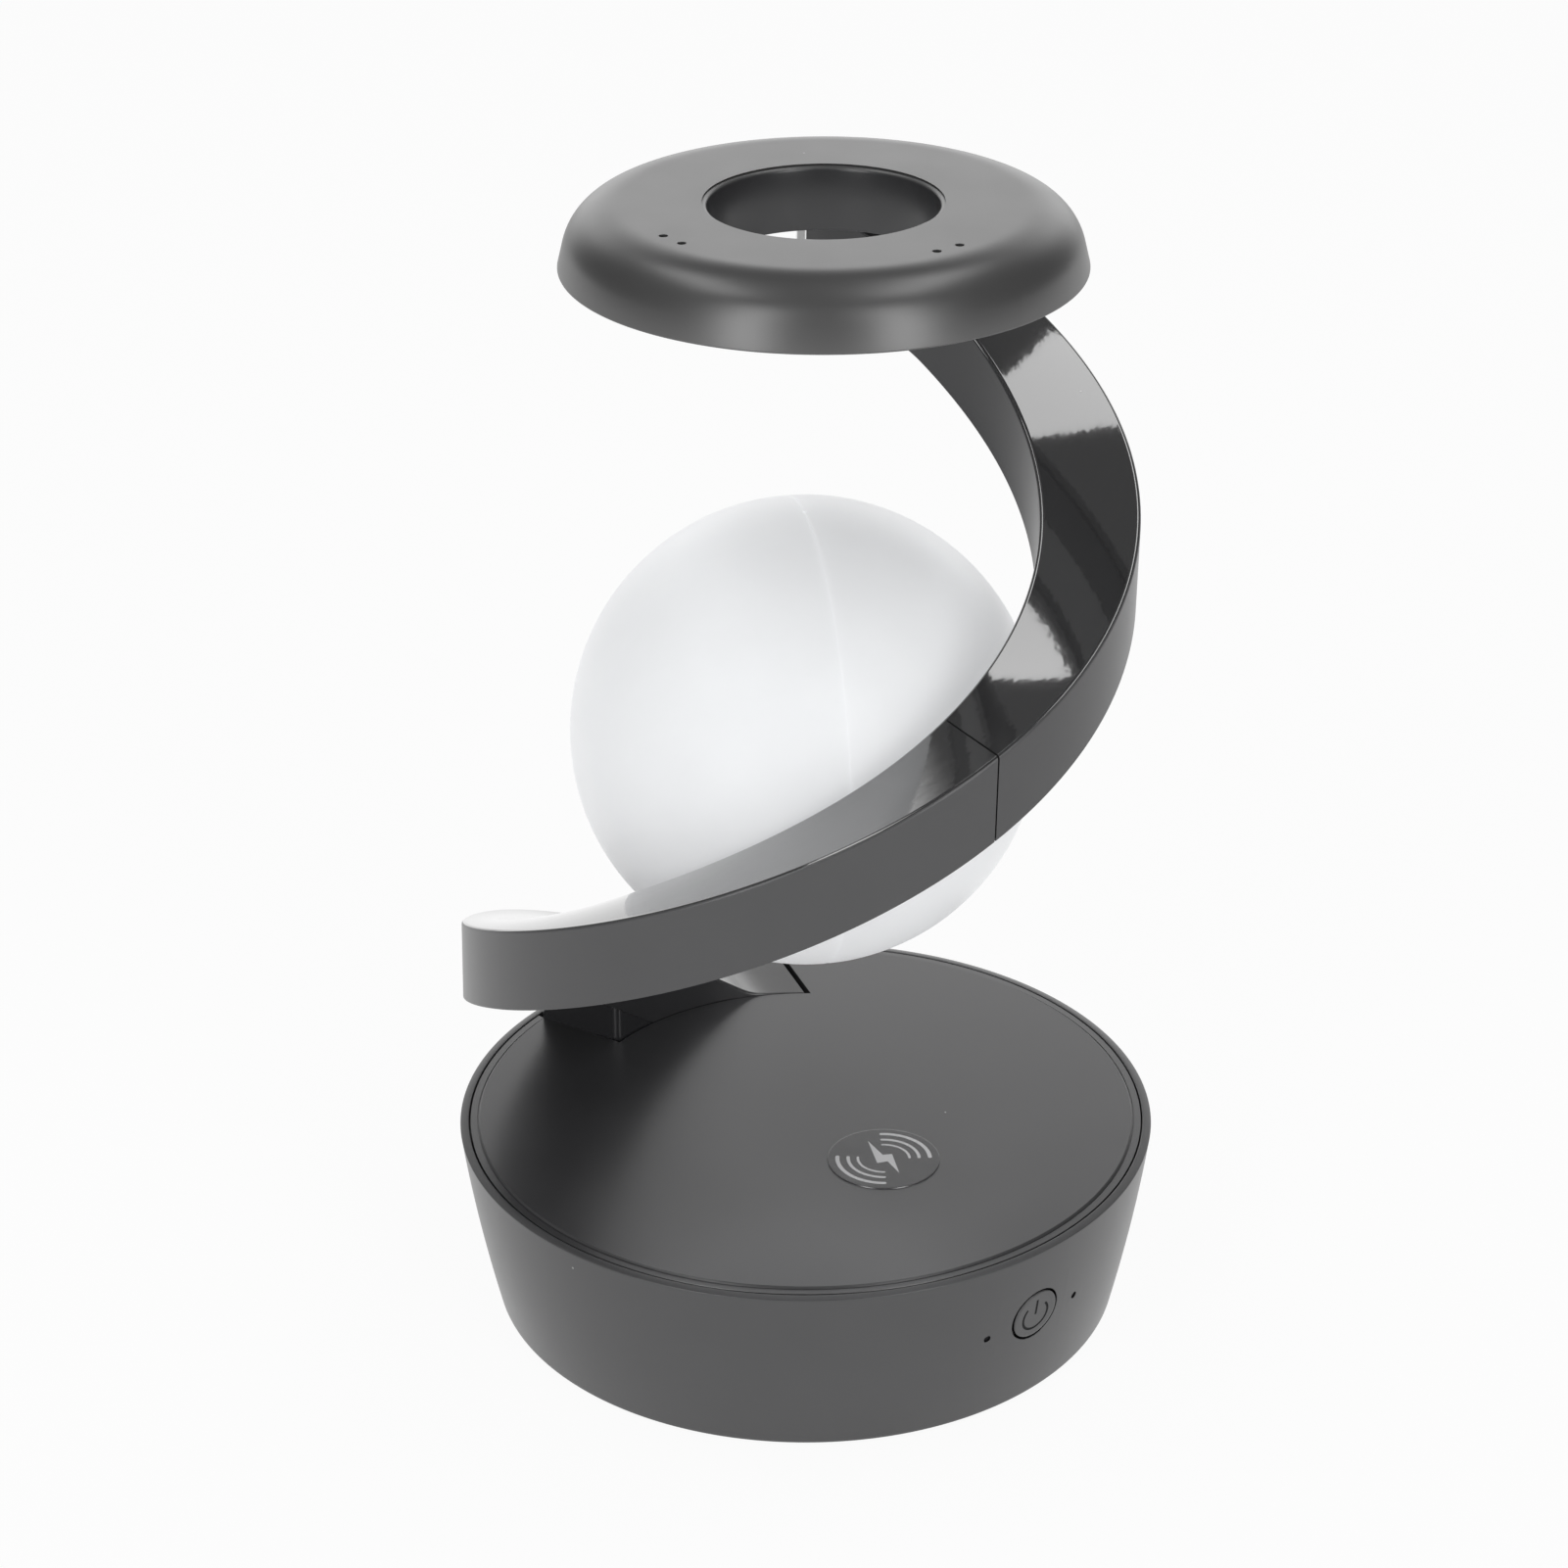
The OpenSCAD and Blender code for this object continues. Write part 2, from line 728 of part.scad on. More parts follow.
// Power button and the switch behind it
module power_button() color(shell_grey) {
    at_button() {
        translate([0, 0, -button_cap_t])
            rotate_extrude()
                polygon([
                    [0, 0], [button_r, 0], [button_r, button_cap_t - 0.5],
                    [button_r - 0.4, button_cap_t - 0.1], [0, button_cap_t]
                ]);
        translate([0, 0, -flange_in])
            cylinder(r = button_r + button_flange_w, h = button_flange_t);
        translate([0, 0, -stem_in])
            cylinder(r = stem_r, h = stem_len + 0.1);
    }
}
module switch_plunger() color(black_plastic) {
    at_button()
        translate([0, 0, -switch_in - 1])
            cylinder(r = plunger_r, h = plunger_out + 1);
}
module button_switch() color(bright_metal) {
    at_button()
        difference() {
            translate([-switch_w / 2, -switch_w / 2, -button_board_in])
                cube([switch_w, switch_w, switch_h]);
            translate([0, 0, -switch_in - 1 - button_travel - 0.4])
                cylinder(r = plunger_r + plunger_gap, h = 4);
        }
}
module button_board() color(board_green) {
    at_button()
        translate([-rail_h / 2, -button_board_w / 2, -button_board_in - board_t + fit])
            cube([rail_h, button_board_w, board_t - fit]);
}
module indicator_pins() color(milk_white) {
    for (s = [-1, 1])
        at_button(pin_down, s * pin_side)
            translate([0, 0, -pin_len]) {
                cylinder(r = pin_r, h = pin_len - 0.4);
                cylinder(r = pin_r + 1, h = pin_len - base_wall - seat_gap);
            }
}

// Foot block under the arm
function foot_section(a) =
    let(ri = arm_in(a), low = rim_z - foot_depth, high = arm_under(a) - fit)
    [[foot_r, low], [foot_r, high], [ri, high], [ri, low]];
module arm_foot() color(gloss_grey) {
    difference() {
        loft(arm_rings(angles(arm_start, foot_end, arm_step), function(a) foot_section(a)));
        for (a = foot_screw_az)
            rotate([0, 0, a])
                translate([foot_screw_r, 0, rim_z - foot_depth - 1])
                    cylinder(r = foot_pilot_r, h = foot_screw_len - shelf_t + 1.5);
        rotate([0, 0, duct_az])
            translate([foot_screw_r, 0, rim_z - foot_depth - 1])
                cylinder(r = duct_r + 0.4, h = foot_depth + arm_band);
    }
}
module foot_screws() color(bright_metal) {
    for (a = foot_screw_az)
        rotate([0, 0, a])
            translate([foot_screw_r, 0, rim_z - foot_depth - shelf_t])
                mirror([0, 0, 1])
                    small_screw(foot_pilot_r - 0.1, foot_screw_len, 2.8, 1.4, 1.4);
}

// Hole for the wires where the arm, the neck and the lamp head meet
module neck_duct(low, len) {
    at_head()
        rotate([0, 0, neck_duct_az])
            translate([neck_mid_r, 0, low])
                cylinder(r = duct_r + 0.4, h = len);
}

// The two arm mouldings, open below, and the strips that close them
module lower_arm() color(gloss_grey) {
    list = angles(arm_start, seam_az - seam_gap, arm_step);
    loft(arm_rings(list, function(a) channel_section(a)), channel_ends);
}
module upper_arm() color(gloss_grey) {
    list = angles(seam_az + seam_gap, arm_end, arm_step);
    difference() {
        loft(arm_rings(list, function(a) channel_section(a)), channel_ends);
        neck_duct(arm_top(neck_duct_az) - arm_wall - 3, arm_wall + 6);
    }
}
function cover_section(a) = strip_section(a, arm_under(a), arm_under(a) + strip_t);
function cap_section(a) = strip_section(a, arm_under(a), arm_top(a) - arm_wall - fit);
module lower_arm_cover() color(black_plastic) {
    list = angles(foot_end + 0.4, seam_az - seam_gap, arm_step);
    loft(arm_rings(list, function(a) cover_section(a)));
}
module upper_arm_cover() color(black_plastic) {
    list = angles(seam_az + seam_gap, arm_end - cap_sweep - 0.2, arm_step);
    loft(arm_rings(list, function(a) cover_section(a)));
}
module arm_end_cap() color(gloss_grey) {
    loft(arm_rings(angles(arm_end - cap_sweep, arm_end, 1), function(a) cap_section(a)));
}

// Hollow plug that joins the two mouldings across the seam
function plug_section(a) =
    let(s = strip_section(a, arm_under(a) + strip_t + fit, arm_top(a) - arm_wall - fit), w = plug_wall)
    concat(s, [s[3] + [w, 0], s[2] + [w, -w], s[1] - [w, w], s[0] - [w, 0]]);
plug_ends = [[0, 1, 6, 7], [1, 2, 5, 6], [2, 3, 4, 5]];
module arm_joint_plug() color(black_plastic) {
    list = angles(seam_az - plug_reach, seam_az + plug_reach, arm_step);
    loft(arm_rings(list, function(a) plug_section(a)), plug_ends);
}

// Wires from the base to the lamp head, inside the arm
neck_mid_r = (neck_in_r + neck_out_r) / 2;
wire_r = 1.5;
wire_sides = 6;
wire_top = head_board_z - 0.2;
function wire_path_r(a) =
    let(middle = (arm_in(a) + arm_out(a)) / 2, to_neck = soft((a - neck_duct_az + 40) / 40),
        from_foot = soft((duct_az + 40 - a) / 40))
    (middle * (1 - to_neck) + neck_mid_r * to_neck) * (1 - from_foot) + foot_screw_r * from_foot;
function wire_z(a) = arm_top(a) - arm_wall - 3.2 - wire_r;
function wire_points() = concat(
    [for (z = [rim_z - foot_depth - shelf_t - 4, rim_z - 4, rim_z + 4]) polar(foot_screw_r, duct_az, z)],
    [
        for (a = angles(duct_az + 2, neck_duct_az - 2, 5))
        polar(wire_path_r(a), a, wire_z(a)) + lean(wire_z(a))
    ],
    [for (z = [wire_z(neck_duct_az) + 4, wire_top]) polar(neck_mid_r, neck_duct_az, z) + lean(head_z)]
);
module head_harness() color(black_plastic) {
    path = wire_points();
    last = len(path) - 1;
    loft([
        for (i = [0:last])
        let(ahead = path[min(last, i + 1)] - path[max(0, i - 1)], t = ahead / norm(ahead),
            out = [path[i][0], path[i][1], 0] / norm([path[i][0], path[i][1]]),
            side = cross(t, out) / norm(cross(t, out)), flat = cross(side, t))
        [for (k = [0:wire_sides - 1]) path[i]
            + wire_r * (cos(360 * k / wire_sides) * flat - sin(360 * k / wire_sides) * side)]
    ]);
}

// Neck that stands on the arm's top face and carries the lamp head
module head_neck() color(gloss_grey) {
    difference() {
        at_head()
            loft([
                for (a = angles(neck_start, neck_end, arm_step))
                let(low = arm_top(a) + fit)
                [
                    polar(neck_out_r, a, low), polar(neck_out_r, a, head_base_z),
                    polar(neck_in_r, a, head_base_z), polar(neck_in_r, a, low)
                ]
            ]);
        neck_duct(arm_top(neck_duct_az) - 1, 40);
        at_neck_screws()
            translate([0, 0, head_base_z - neck_grip - 0.4])
                cylinder(r = foot_pilot_r, h = 2 * neck_grip);
    }
}
module at_neck_screws() {
    at_head()
        for (a = neck_screw_az)
            rotate([0, 0, a])
                translate([neck_mid_r, 0, 0])
                    children();
}
module neck_screws() color(bright_metal) {
    at_neck_screws()
        translate([0, 0, head_base_top])
            small_screw(foot_pilot_r - 0.1, head_base_t + neck_grip, 2.4, 1, 1.2);
}

// Lamp head: a revolved shell with a through hole, closed below by a base ring
module at_head() {
    translate([head_shift, 0, 0])
        children();
}
function shoulder(inset) = [
    for (i = [0:8])
    let(t = 90 * i / 8, flat_r = head_flat_d / 2, side = head_r - head_lip - inset)
    [flat_r + (side - flat_r) * cos(t), head_z + head_side_h + (head_h - head_side_h - inset) * sin(t)]
];
module head_shell() color(shell_grey) {
    at_head() {
        difference() {
            rotate_extrude()
                polygon(concat(
                    [[head_r, head_z]],
                    shoulder(0),
                    [
                        [hole_r + hole_edge, head_top],
                        [hole_r + 0.3 * hole_edge, head_top - 0.3 * hole_edge],
                        [hole_r, head_top - hole_edge],
                        [hole_r, head_z - hole_lip],
                        [hole_r + head_wall, head_z - hole_lip],
                        [hole_r + head_wall, head_top - head_wall]
                    ],
                    [for (i = [8:-1:0]) shoulder(head_wall)[i]],
                    [[head_r - head_wall, head_z]]
                ));
            for (a = vent_az)
                rotate([0, 0, a])
                    translate([vent_ring_r, 0, head_top - head_wall - 1])
                        cylinder(r = vent_r, h = head_wall + 2, $fn = 24);
        }
        for (a = head_post_az)
            rotate([0, 0, a])
                translate([head_post_ring, 0, head_board_top])
                    difference() {
                        cylinder(r = head_post_r, h = head_top - head_wall - 0.6 - head_board_top);
                        translate([0, 0, -1])
                            cylinder(r = 1.1, h = 4);
                    }
    }
}
module head_base() color(shell_grey) {
    difference() {
        at_head()
            difference() {
                union() {
                    translate([0, 0, head_base_z])
                        cylinder(r = head_base_r, h = head_base_t);
                    for (a = head_post_az)
                        rotate([0, 0, a])
                            translate([head_post_ring, 0, head_base_z + 1])
                                cylinder(r = head_post_r, h = head_board_z - head_base_z - 1);
                }
                translate([0, 0, head_base_z - 1])
                    cylinder(r = hole_r + head_wall + fit, h = head_base_t + 2);
                translate([0, 0, head_base_z - 1])
                    difference() {
                        cylinder(r = window_out_r, h = head_base_t + 2);
                        translate([0, 0, -1])
                            cylinder(r = window_in_r, h = head_base_t + 4);
                        for (a = [45:90:315])
                            rotate([0, 0, a])
                                translate([0, -2, 2.2])
                                    cube([head_r, 4, head_base_t]);
                    }
                for (a = head_post_az)
                    rotate([0, 0, a])
                        translate([head_post_ring, 0, head_base_z - 1]) {
                            cylinder(r = 1.1, h = 12);
                            cylinder(r = 2.1, h = 2);
                        }
            }
        at_neck_screws()
            translate([0, 0, head_base_z - 1])
                cylinder(r = foot_pilot_r + 0.1, h = head_base_t + 2);
        neck_duct(head_base_z - 1, head_base_t + 2);
    }
}
module head_diffuser() color(milk_white) {
    at_head()
        difference() {
            translate([0, 0, head_base_z])
                cylinder(r = window_out_r - fit, h = 1);
            translate([0, 0, head_base_z - 1])
                cylinder(r = window_in_r + fit, h = 4);
        }
}
module head_led_board() color(board_green) {
    at_head()
        difference() {
            translate([0, 0, head_board_z])
                cylinder(r = head_post_ring + head_post_r, h = head_board_t);
            translate([0, 0, head_board_z - 1])
                cylinder(r = hole_r + head_wall + 1, h = 4);
            for (a = head_post_az)
                rotate([0, 0, a])
                    translate([head_post_ring, 0, head_board_z - 1])
                        cylinder(r = 1.1, h = 4);
        }
}
module head_leds() color(milk_white) {
    at_head()
        for (i = [0:23])
            rotate([0, 0, i * 15])
                translate([(window_in_r + window_out_r) / 2 - 1.4, -1.4, head_board_z - 1])
                    cube([2.8, 2.8, 1]);
}
module head_screws() color(bright_metal) {
    at_head()
        for (a = head_post_az)
            rotate([0, 0, a])
                translate([head_post_ring, 0, head_base_z + 1])
                    mirror([0, 0, 1])
                        small_screw(1, head_screw_len, 2, 0.9, 1);
}

// Ball: two half shells on a frame with its magnet, coil and lamp board
module at_ball() {
    translate([0, hover_y, ball_z])
        rotate([0, 0, ball_seam_az])
            children();
}
module ball_half(side) {
    at_ball()
        difference() {
            sphere(r = ball_r, $fn = 128);
            sphere(r = ball_in_r, $fn = 128);
            translate([-ball_r - 1, side > 0 ? -2 * ball_r : 0, -ball_r - 1])
                cube([2 * ball_r + 2, 2 * ball_r, 2 * ball_r + 2]);
        }
}
module ball_shell_right() color(milk_white) ball_half(1);
module ball_shell_left() color(milk_white) ball_half(-1);
module ball_frame() color(milk_white) {
    plate_r = sqrt(ball_in_r * ball_in_r - ball_plate_z * ball_plate_z) - 0.35;
    at_ball()
        rotate_extrude()
            polygon([
                [0, ball_flange_z], [ball_magnet_r + 6, ball_flange_z],
                [ball_magnet_r + 6, ball_flange_z + ball_frame_t], [8, ball_flange_z + ball_frame_t],
                [6, ball_plate_z - 4], [10, ball_plate_z], [plate_r - 0.4, ball_plate_z],
                [plate_r - 0.4, ball_plate_z + ball_frame_t], [0, ball_plate_z + ball_frame_t]
            ]);
}
module ball_magnet() color(bright_metal) {
    at_ball()
        translate([0, 0, ball_flange_z - ball_magnet_h])
            cylinder(r = ball_magnet_r, h = ball_magnet_h);
}
module ball_coil() color(copper) {
    at_ball()
        translate([0, 0, ball_flange_z - 3])
            difference() {
                cylinder(r = ball_magnet_r + 6, h = 3);
                translate([0, 0, -1])
                    cylinder(r = ball_magnet_r + 0.6, h = 5);
            }
}
module ball_led_board() color(board_green) {
    at_ball()
        translate([0, 0, ball_plate_z + ball_frame_t])
            cylinder(r = ball_board_r, h = board_t);
}
module ball_leds() color(milk_white) {
    at_ball()
        for (i = [0:11])
            rotate([0, 0, i * 30])
                translate([ball_board_r - 6, -1.4, ball_plate_z + ball_frame_t + board_t])
                    cube([2.8, 2.8, 1]);
}

base_shell();
top_plate();
bottom_cover();
rubber_feet();
cover_screws();
ballast_ring();
magnet_carrier();
lift_magnet();
lift_coils();
hall_board();
power_coil();
charge_coil();
charge_shield();
charge_mark();
control_board();
board_parts();
inlet_board();
usb_inlet();
power_button();
switch_plunger();
button_switch();
button_board();
indicator_pins();
arm_foot();
foot_screws();
lower_arm();
lower_arm_cover();
arm_joint_plug();
upper_arm();
upper_arm_cover();
arm_end_cap();
head_harness();
head_neck();
neck_screws();
head_shell();
head_base();
head_diffuser();
head_led_board();
head_leds();
head_screws();
ball_shell_left();
ball_shell_right();
ball_frame();
ball_magnet();
ball_coil();
ball_led_board();
ball_leds();
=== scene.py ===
"""Looks of the levitating ball lamp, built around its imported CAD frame, in metres."""
import json
import math

import bpy
from mathutils import Matrix, Vector


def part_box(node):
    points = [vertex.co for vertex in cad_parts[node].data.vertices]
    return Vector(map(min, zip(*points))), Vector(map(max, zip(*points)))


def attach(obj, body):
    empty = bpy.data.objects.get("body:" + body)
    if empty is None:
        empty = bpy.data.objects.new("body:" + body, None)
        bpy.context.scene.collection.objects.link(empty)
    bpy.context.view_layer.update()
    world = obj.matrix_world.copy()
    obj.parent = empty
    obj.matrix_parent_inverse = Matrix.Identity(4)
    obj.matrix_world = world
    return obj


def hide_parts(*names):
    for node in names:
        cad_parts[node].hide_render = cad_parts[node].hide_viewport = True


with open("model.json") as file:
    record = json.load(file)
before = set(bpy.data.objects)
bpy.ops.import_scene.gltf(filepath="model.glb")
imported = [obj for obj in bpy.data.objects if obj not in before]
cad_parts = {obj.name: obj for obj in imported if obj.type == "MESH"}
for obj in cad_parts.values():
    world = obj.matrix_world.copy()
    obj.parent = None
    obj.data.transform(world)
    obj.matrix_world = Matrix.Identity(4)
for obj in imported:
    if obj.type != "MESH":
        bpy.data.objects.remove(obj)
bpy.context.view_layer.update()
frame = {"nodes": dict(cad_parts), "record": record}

# Step of the finest edges
FINE = 0.00001

# Sizes of the base, worked out from the frame where it shows them
BASE_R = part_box("base_shell")[1].x
RIM_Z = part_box("base_shell")[1].z
FOOT_OUT = 0.0008
BASE_FOOT_R = 0.0679
SIDE_H = RIM_Z - FOOT_OUT
SIDE_BULGE = 0.00055
WALL_T = 0.0019
RIM_IN_R = BASE_R - WALL_T
PLATE_T = 0.0024
PLATE_GAP = 0.0003
PLATE_R = RIM_IN_R - PLATE_GAP
PLATE_LIFT = 0.0004
PLATE_Z = RIM_Z + PLATE_LIFT
LINE_R = PLATE_R - 0.0015
LINE_W = 0.0002
LINE_D = 0.0002
RIM_DROP = 0.0002
RIM_EDGE = 0.0002
NOSE_GAP = 0.00002
LEDGE_W = 0.003
LEDGE_T = 0.002
FOOT_EDGE = 0.0005
SIDE_BAND = 0.001
TUBE_DEPTH = 0.0016

# Sizes of the spiral arm, with angles in degrees from the right, counted towards the back
ARM_START = 90.3
ARM_END = ARM_START + 366.7
SEAM_AZ = 300.4
SEAM_GAP = 0.14
ARM_STEP = 1.6
ARM_IN_R = 0.050
ARM_IN_END_R = 0.0375
TURN_IN_POWER = 0.9
ARM_OUT_R = 0.0737
ARM_OUT_END_R = 0.0538
DRAW_IN_AZ = 178
DRAW_IN_POWER = 1.75
ARM_BAND = 0.0184
ARM_WALL = 0.0022
ARM_EDGE = 0.0008
START_SHARE = 0.05
LOW_EDGE = 0.00025
INNER_EDGE = 0.0001
TURN_RISE = 0.198
CLIMB_AZ = ARM_START + 3.3
EASE_DROP = 0.00375
EASE_AZ = ARM_START + 9.7
EASE_SPAN = 50
START_EASE = 0.0016
START_LAG = 0.0018
LAG_AZ = ARM_START + 23
LAG_SPAN = 50
NOSE_T = 0.003
NOSE_SKEW = 6.2
NOSE_BLEND = 22
NOSE_OUT_R = PLATE_R - 0.0002
NOSE_CUT_AZ = ARM_START + 16.7
NOSE_CUT_SPAN = 34
RIM_CLEAR = 0.0003
SATIN_BELOW = PLATE_Z + 0.001
GLOSS_ABOVE = PLATE_Z + 0.008
TUCK_IN = 0.0103
TUCK_SPAN = 40
SLIT_W = 0.0013
FOOT_IN_START = ARM_START + 4.7
FOOT_OUT_START = ARM_START + 14.7
FOOT_END = 146
FOOT_DEPTH = 0.008
FOOT_IN_R = ARM_IN_R + 0.0003
FOOT_OUT_R = ARM_OUT_R - 0.0025

# Sizes of the lamp head
HEAD_H = 0.0128
HEAD_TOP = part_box("head_shell")[1].z
HEAD_Z = HEAD_TOP - HEAD_H
HEAD_R = 0.0523
HEAD_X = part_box("head_shell")[1].x - HEAD_R
HEAD_FLAT_R = 0.040
FLAT_STEP = 0.0009
HEAD_SIDE_H = 0.0045
HEAD_LIP = 0.0011
HEAD_WALL = 0.002
HOLE_R = 0.02275
HOLE_EDGE = 0.0009
HOLE_LIP = 0.0008
VENT_R = 0.00095
VENT_RING_R = 0.0372
VENT_AZ = (214.8, 223.6, 304.6, 313.3)
# Pull of the two inner handles at which a bend comes nearest to a quarter circle
ROUND_PULL = 0.5523

# Sizes of the ball
BALL_R = 0.0488
BALL_WALL = 0.0016
BALL_Y = 0.002
BALL_Z = RIM_Z + 0.0901
BALL_SEAM_AZ = 281
GROOVE_D = 0.00007
GROOVE_AZ = 0.35

# Places and sizes of the controls
BUTTON_AZ = 311
BUTTON_R = 0.0058
BUTTON_DOWN = 0.017
BUTTON_CAP_T = WALL_T + 0.0006
BUTTON_GAP = 0.0006
PIN_R = 0.0009
PIN_SIDE = 9.9
PIN_DOWN = BUTTON_DOWN + 0.0014
MARK_R = 0.012
MARK_AZ = 307
MARK_RING_R = 0.0276
MARK_T = 0.0002

# Light: the backdrop's edges are parts of a unit direction, at which it starts and ends to fade
BACKDROP_LIGHT = 1.8
BACKDROP_BEHIND = (0.2, 0.75)
BACKDROP_SIDES = (0.35, 0.75)
BACKDROP_TOP = (0.395, 0.54)
BACKDROP_SAG = 0.12
ROOM_LIGHT = 0.15
FLOOR_GLOW = 0.94
CEILING_WATTS = 20
CEILING_STRIPS = {"ceiling_strip_left": -1.6, "ceiling_strip_right": 1.19}
CEILING_Y = 0.375
CEILING_Z = 3.17
CEILING_SIZE = (0.87, 2.55)
FRONT_WATTS = 8
FRONT_STRIPS = {"front_strip_left": -0.72, "front_strip_right": 0.72}
FRONT_Y = -1.1
FRONT_Z = 0.76
FRONT_SIZE = (0.45, 1.5)


# Shapes of the object as formulas

def soft(t):
    """A soft step from 0 to 1."""
    return (1 - math.cos(math.pi * min(1, max(0, t)))) / 2


def polar(r, az, z=0.0):
    """Point at a radius and an angle in degrees."""
    return Vector((r * math.cos(math.radians(az)), r * math.sin(math.radians(az)), z))


def side_r(depth):
    """Radius of the base's side wall at a depth below the rim."""
    t = depth / SIDE_H
    return BASE_R + (BASE_FOOT_R - BASE_R) * t + SIDE_BULGE * 4 * t * (1 - t)


def raw_rise(az):
    """Height of the arm's top face above the plate before the head cuts it level."""
    climb = TURN_RISE / 360 * (az - CLIMB_AZ)
    return climb - EASE_DROP * math.exp(-(az - EASE_AZ) / EASE_SPAN)


def arm_top(az):
    """Height of the arm's top face, which eases out of the plate."""
    lag = START_LAG * (1 - soft((az - LAG_AZ) / LAG_SPAN))
    rise = raw_rise(az) - lag - PLATE_LIFT
    eased_rise = PLATE_LIFT + (rise + math.hypot(rise, START_EASE)) / 2
    return RIM_Z + min(eased_rise, HEAD_Z - RIM_Z - RIM_CLEAR)


def arm_under(az):
    """Height of the arm's underside."""
    return max(arm_top(az) - ARM_BAND, min(RIM_Z + RIM_CLEAR, arm_top(az) - NOSE_T))


def along(az):
    """Share of the way along the arm."""
    return (az - ARM_START) / (ARM_END - ARM_START)


def tuck(az):
    """How far the arm's end is drawn in under the head."""
    return TUCK_IN * soft((az - ARM_END + TUCK_SPAN) / TUCK_SPAN)


def arm_in(az):
    """Inner radius of the arm."""
    share = soft(2 * along(az) - 1) ** TURN_IN_POWER
    return ARM_IN_R + (ARM_IN_END_R - ARM_IN_R) * share - tuck(az)


def arm_out(az):
    """Outer radius of the arm."""
    share = max(0, (az - DRAW_IN_AZ) / (ARM_END - DRAW_IN_AZ)) ** DRAW_IN_POWER
    full = ARM_OUT_R + (ARM_OUT_END_R - ARM_OUT_R) * share
    cut = max(0, full - NOSE_OUT_R) * (1 - soft((az - NOSE_CUT_AZ) / NOSE_CUT_SPAN))
    return full - cut - tuck(az)


def arm_point(az, r, z):
    """Point of the arm, skewed along the slit at its start and leaning right as it climbs."""
    share = (r - arm_in(az)) / (arm_out(az) - arm_in(az))
    skew = NOSE_SKEW * max(0, 1 - (az - ARM_START) / NOSE_BLEND)
    inner = polar(arm_in(az), az, z)
    outer = polar(arm_out(az), az + skew, z)
    lean = HEAD_X * max(0, z - RIM_Z) / (HEAD_Z - RIM_Z)
    return inner.lerp(outer, share) + Vector((lean, 0, 0))


def steps(start, end, size):
    """Values from start to end in near equal steps."""
    count = max(1, math.ceil(abs(end - start) / size))
    return [start + (end - start) * i / count for i in range(count + 1)]


def bend(handles, share):
    """Point at a share of a bend from the first handle to the last, drawn towards those between."""
    while len(handles) > 1:
        handles = [a.lerp(b, share) for a, b in zip(handles, handles[1:])]
    return handles[0]


def rounded(corners, segments=4):
    """Closed outline through corners (x, y, radius), each rounded by its radius."""
    outline = []
    for i, (x, y, radius) in enumerate(corners):
        corner = Vector((x, y))
        if radius == 0:
            outline.append(corner)
            continue
        before = (Vector(corners[i - 1][:2]) - corner).normalized()
        after = (Vector(corners[(i + 1) % len(corners)][:2]) - corner).normalized()
        half = before.angle(after) / 2
        centre = corner + (before + after).normalized() * radius / math.sin(half)
        first = corner + before * radius / math.tan(half) - centre
        last = corner + after * radius / math.tan(half) - centre
        turn = first.angle(last)
        for k in range(segments + 1):
            t = k / segments
            arm = first * math.sin((1 - t) * turn) + last * math.sin(t * turn)
            outline.append(centre + arm / math.sin(turn))
    return outline


def held(outline, sides, segments=4):
    """Rounded outline with five more points on some sides, so that these shade flat to their ends."""
    filled = []
    for i, point in enumerate(outline):
        filled.append(point)
        corner, place = divmod(i, segments + 1)
        if place == segments and corner in sides:
            ahead = outline[(i + 1) % len(outline)] - point
            hold = 12 * FINE / ahead.length
            filled += [point + ahead * share for share in (hold, 0.2, 0.5, 0.8, 1 - hold)]
    return filled


# Meshes

def add_mesh(name, points, faces, crease=32):
    """Object with smooth faces and creases where they meet at more than an angle."""
    mesh = bpy.data.meshes.new(name)
    mesh.from_pydata([tuple(p) for p in points], [], faces)
    mesh.validate()
    mesh.update()
    mesh.polygons.foreach_set("use_smooth", [True] * len(mesh.polygons))
    mesh.set_sharp_from_angle(angle=math.radians(crease))
    piece = bpy.data.objects.new(name, mesh)
    bpy.context.scene.collection.objects.link(piece)
    return piece


def loft(name, rings, crease=32):
    """Skin through rings of points, closed by a face at each end."""
    n = len(rings[0])
    points = [p for ring in rings for p in ring]
    last = (len(rings) - 1) * n
    faces = []
    for i in range(0, last, n):
        for k in range(n):
            m = (k + 1) % n
            faces.append((i + k, i + m, i + n + m, i + n + k))
    faces.append(tuple(range(n - 1, -1, -1)))
    faces.append(tuple(range(last, last + n)))
    return add_mesh(name, points, faces, crease)


def lathe_grid(outline, turns):
    """Points and faces of an outline (radius, height) turned about the vertical axis."""
    n = len(outline)
    points = [polar(p[0], 360 * i / turns, p[1]) for i in range(turns) for p in outline]
    faces = {}
    for i in range(turns):
        j = (i + 1) % turns
        for k in range(n):
            m = (k + 1) % n
            faces[i, k] = (i * n + k, j * n + k, j * n + m, i * n + m)
    return points, faces


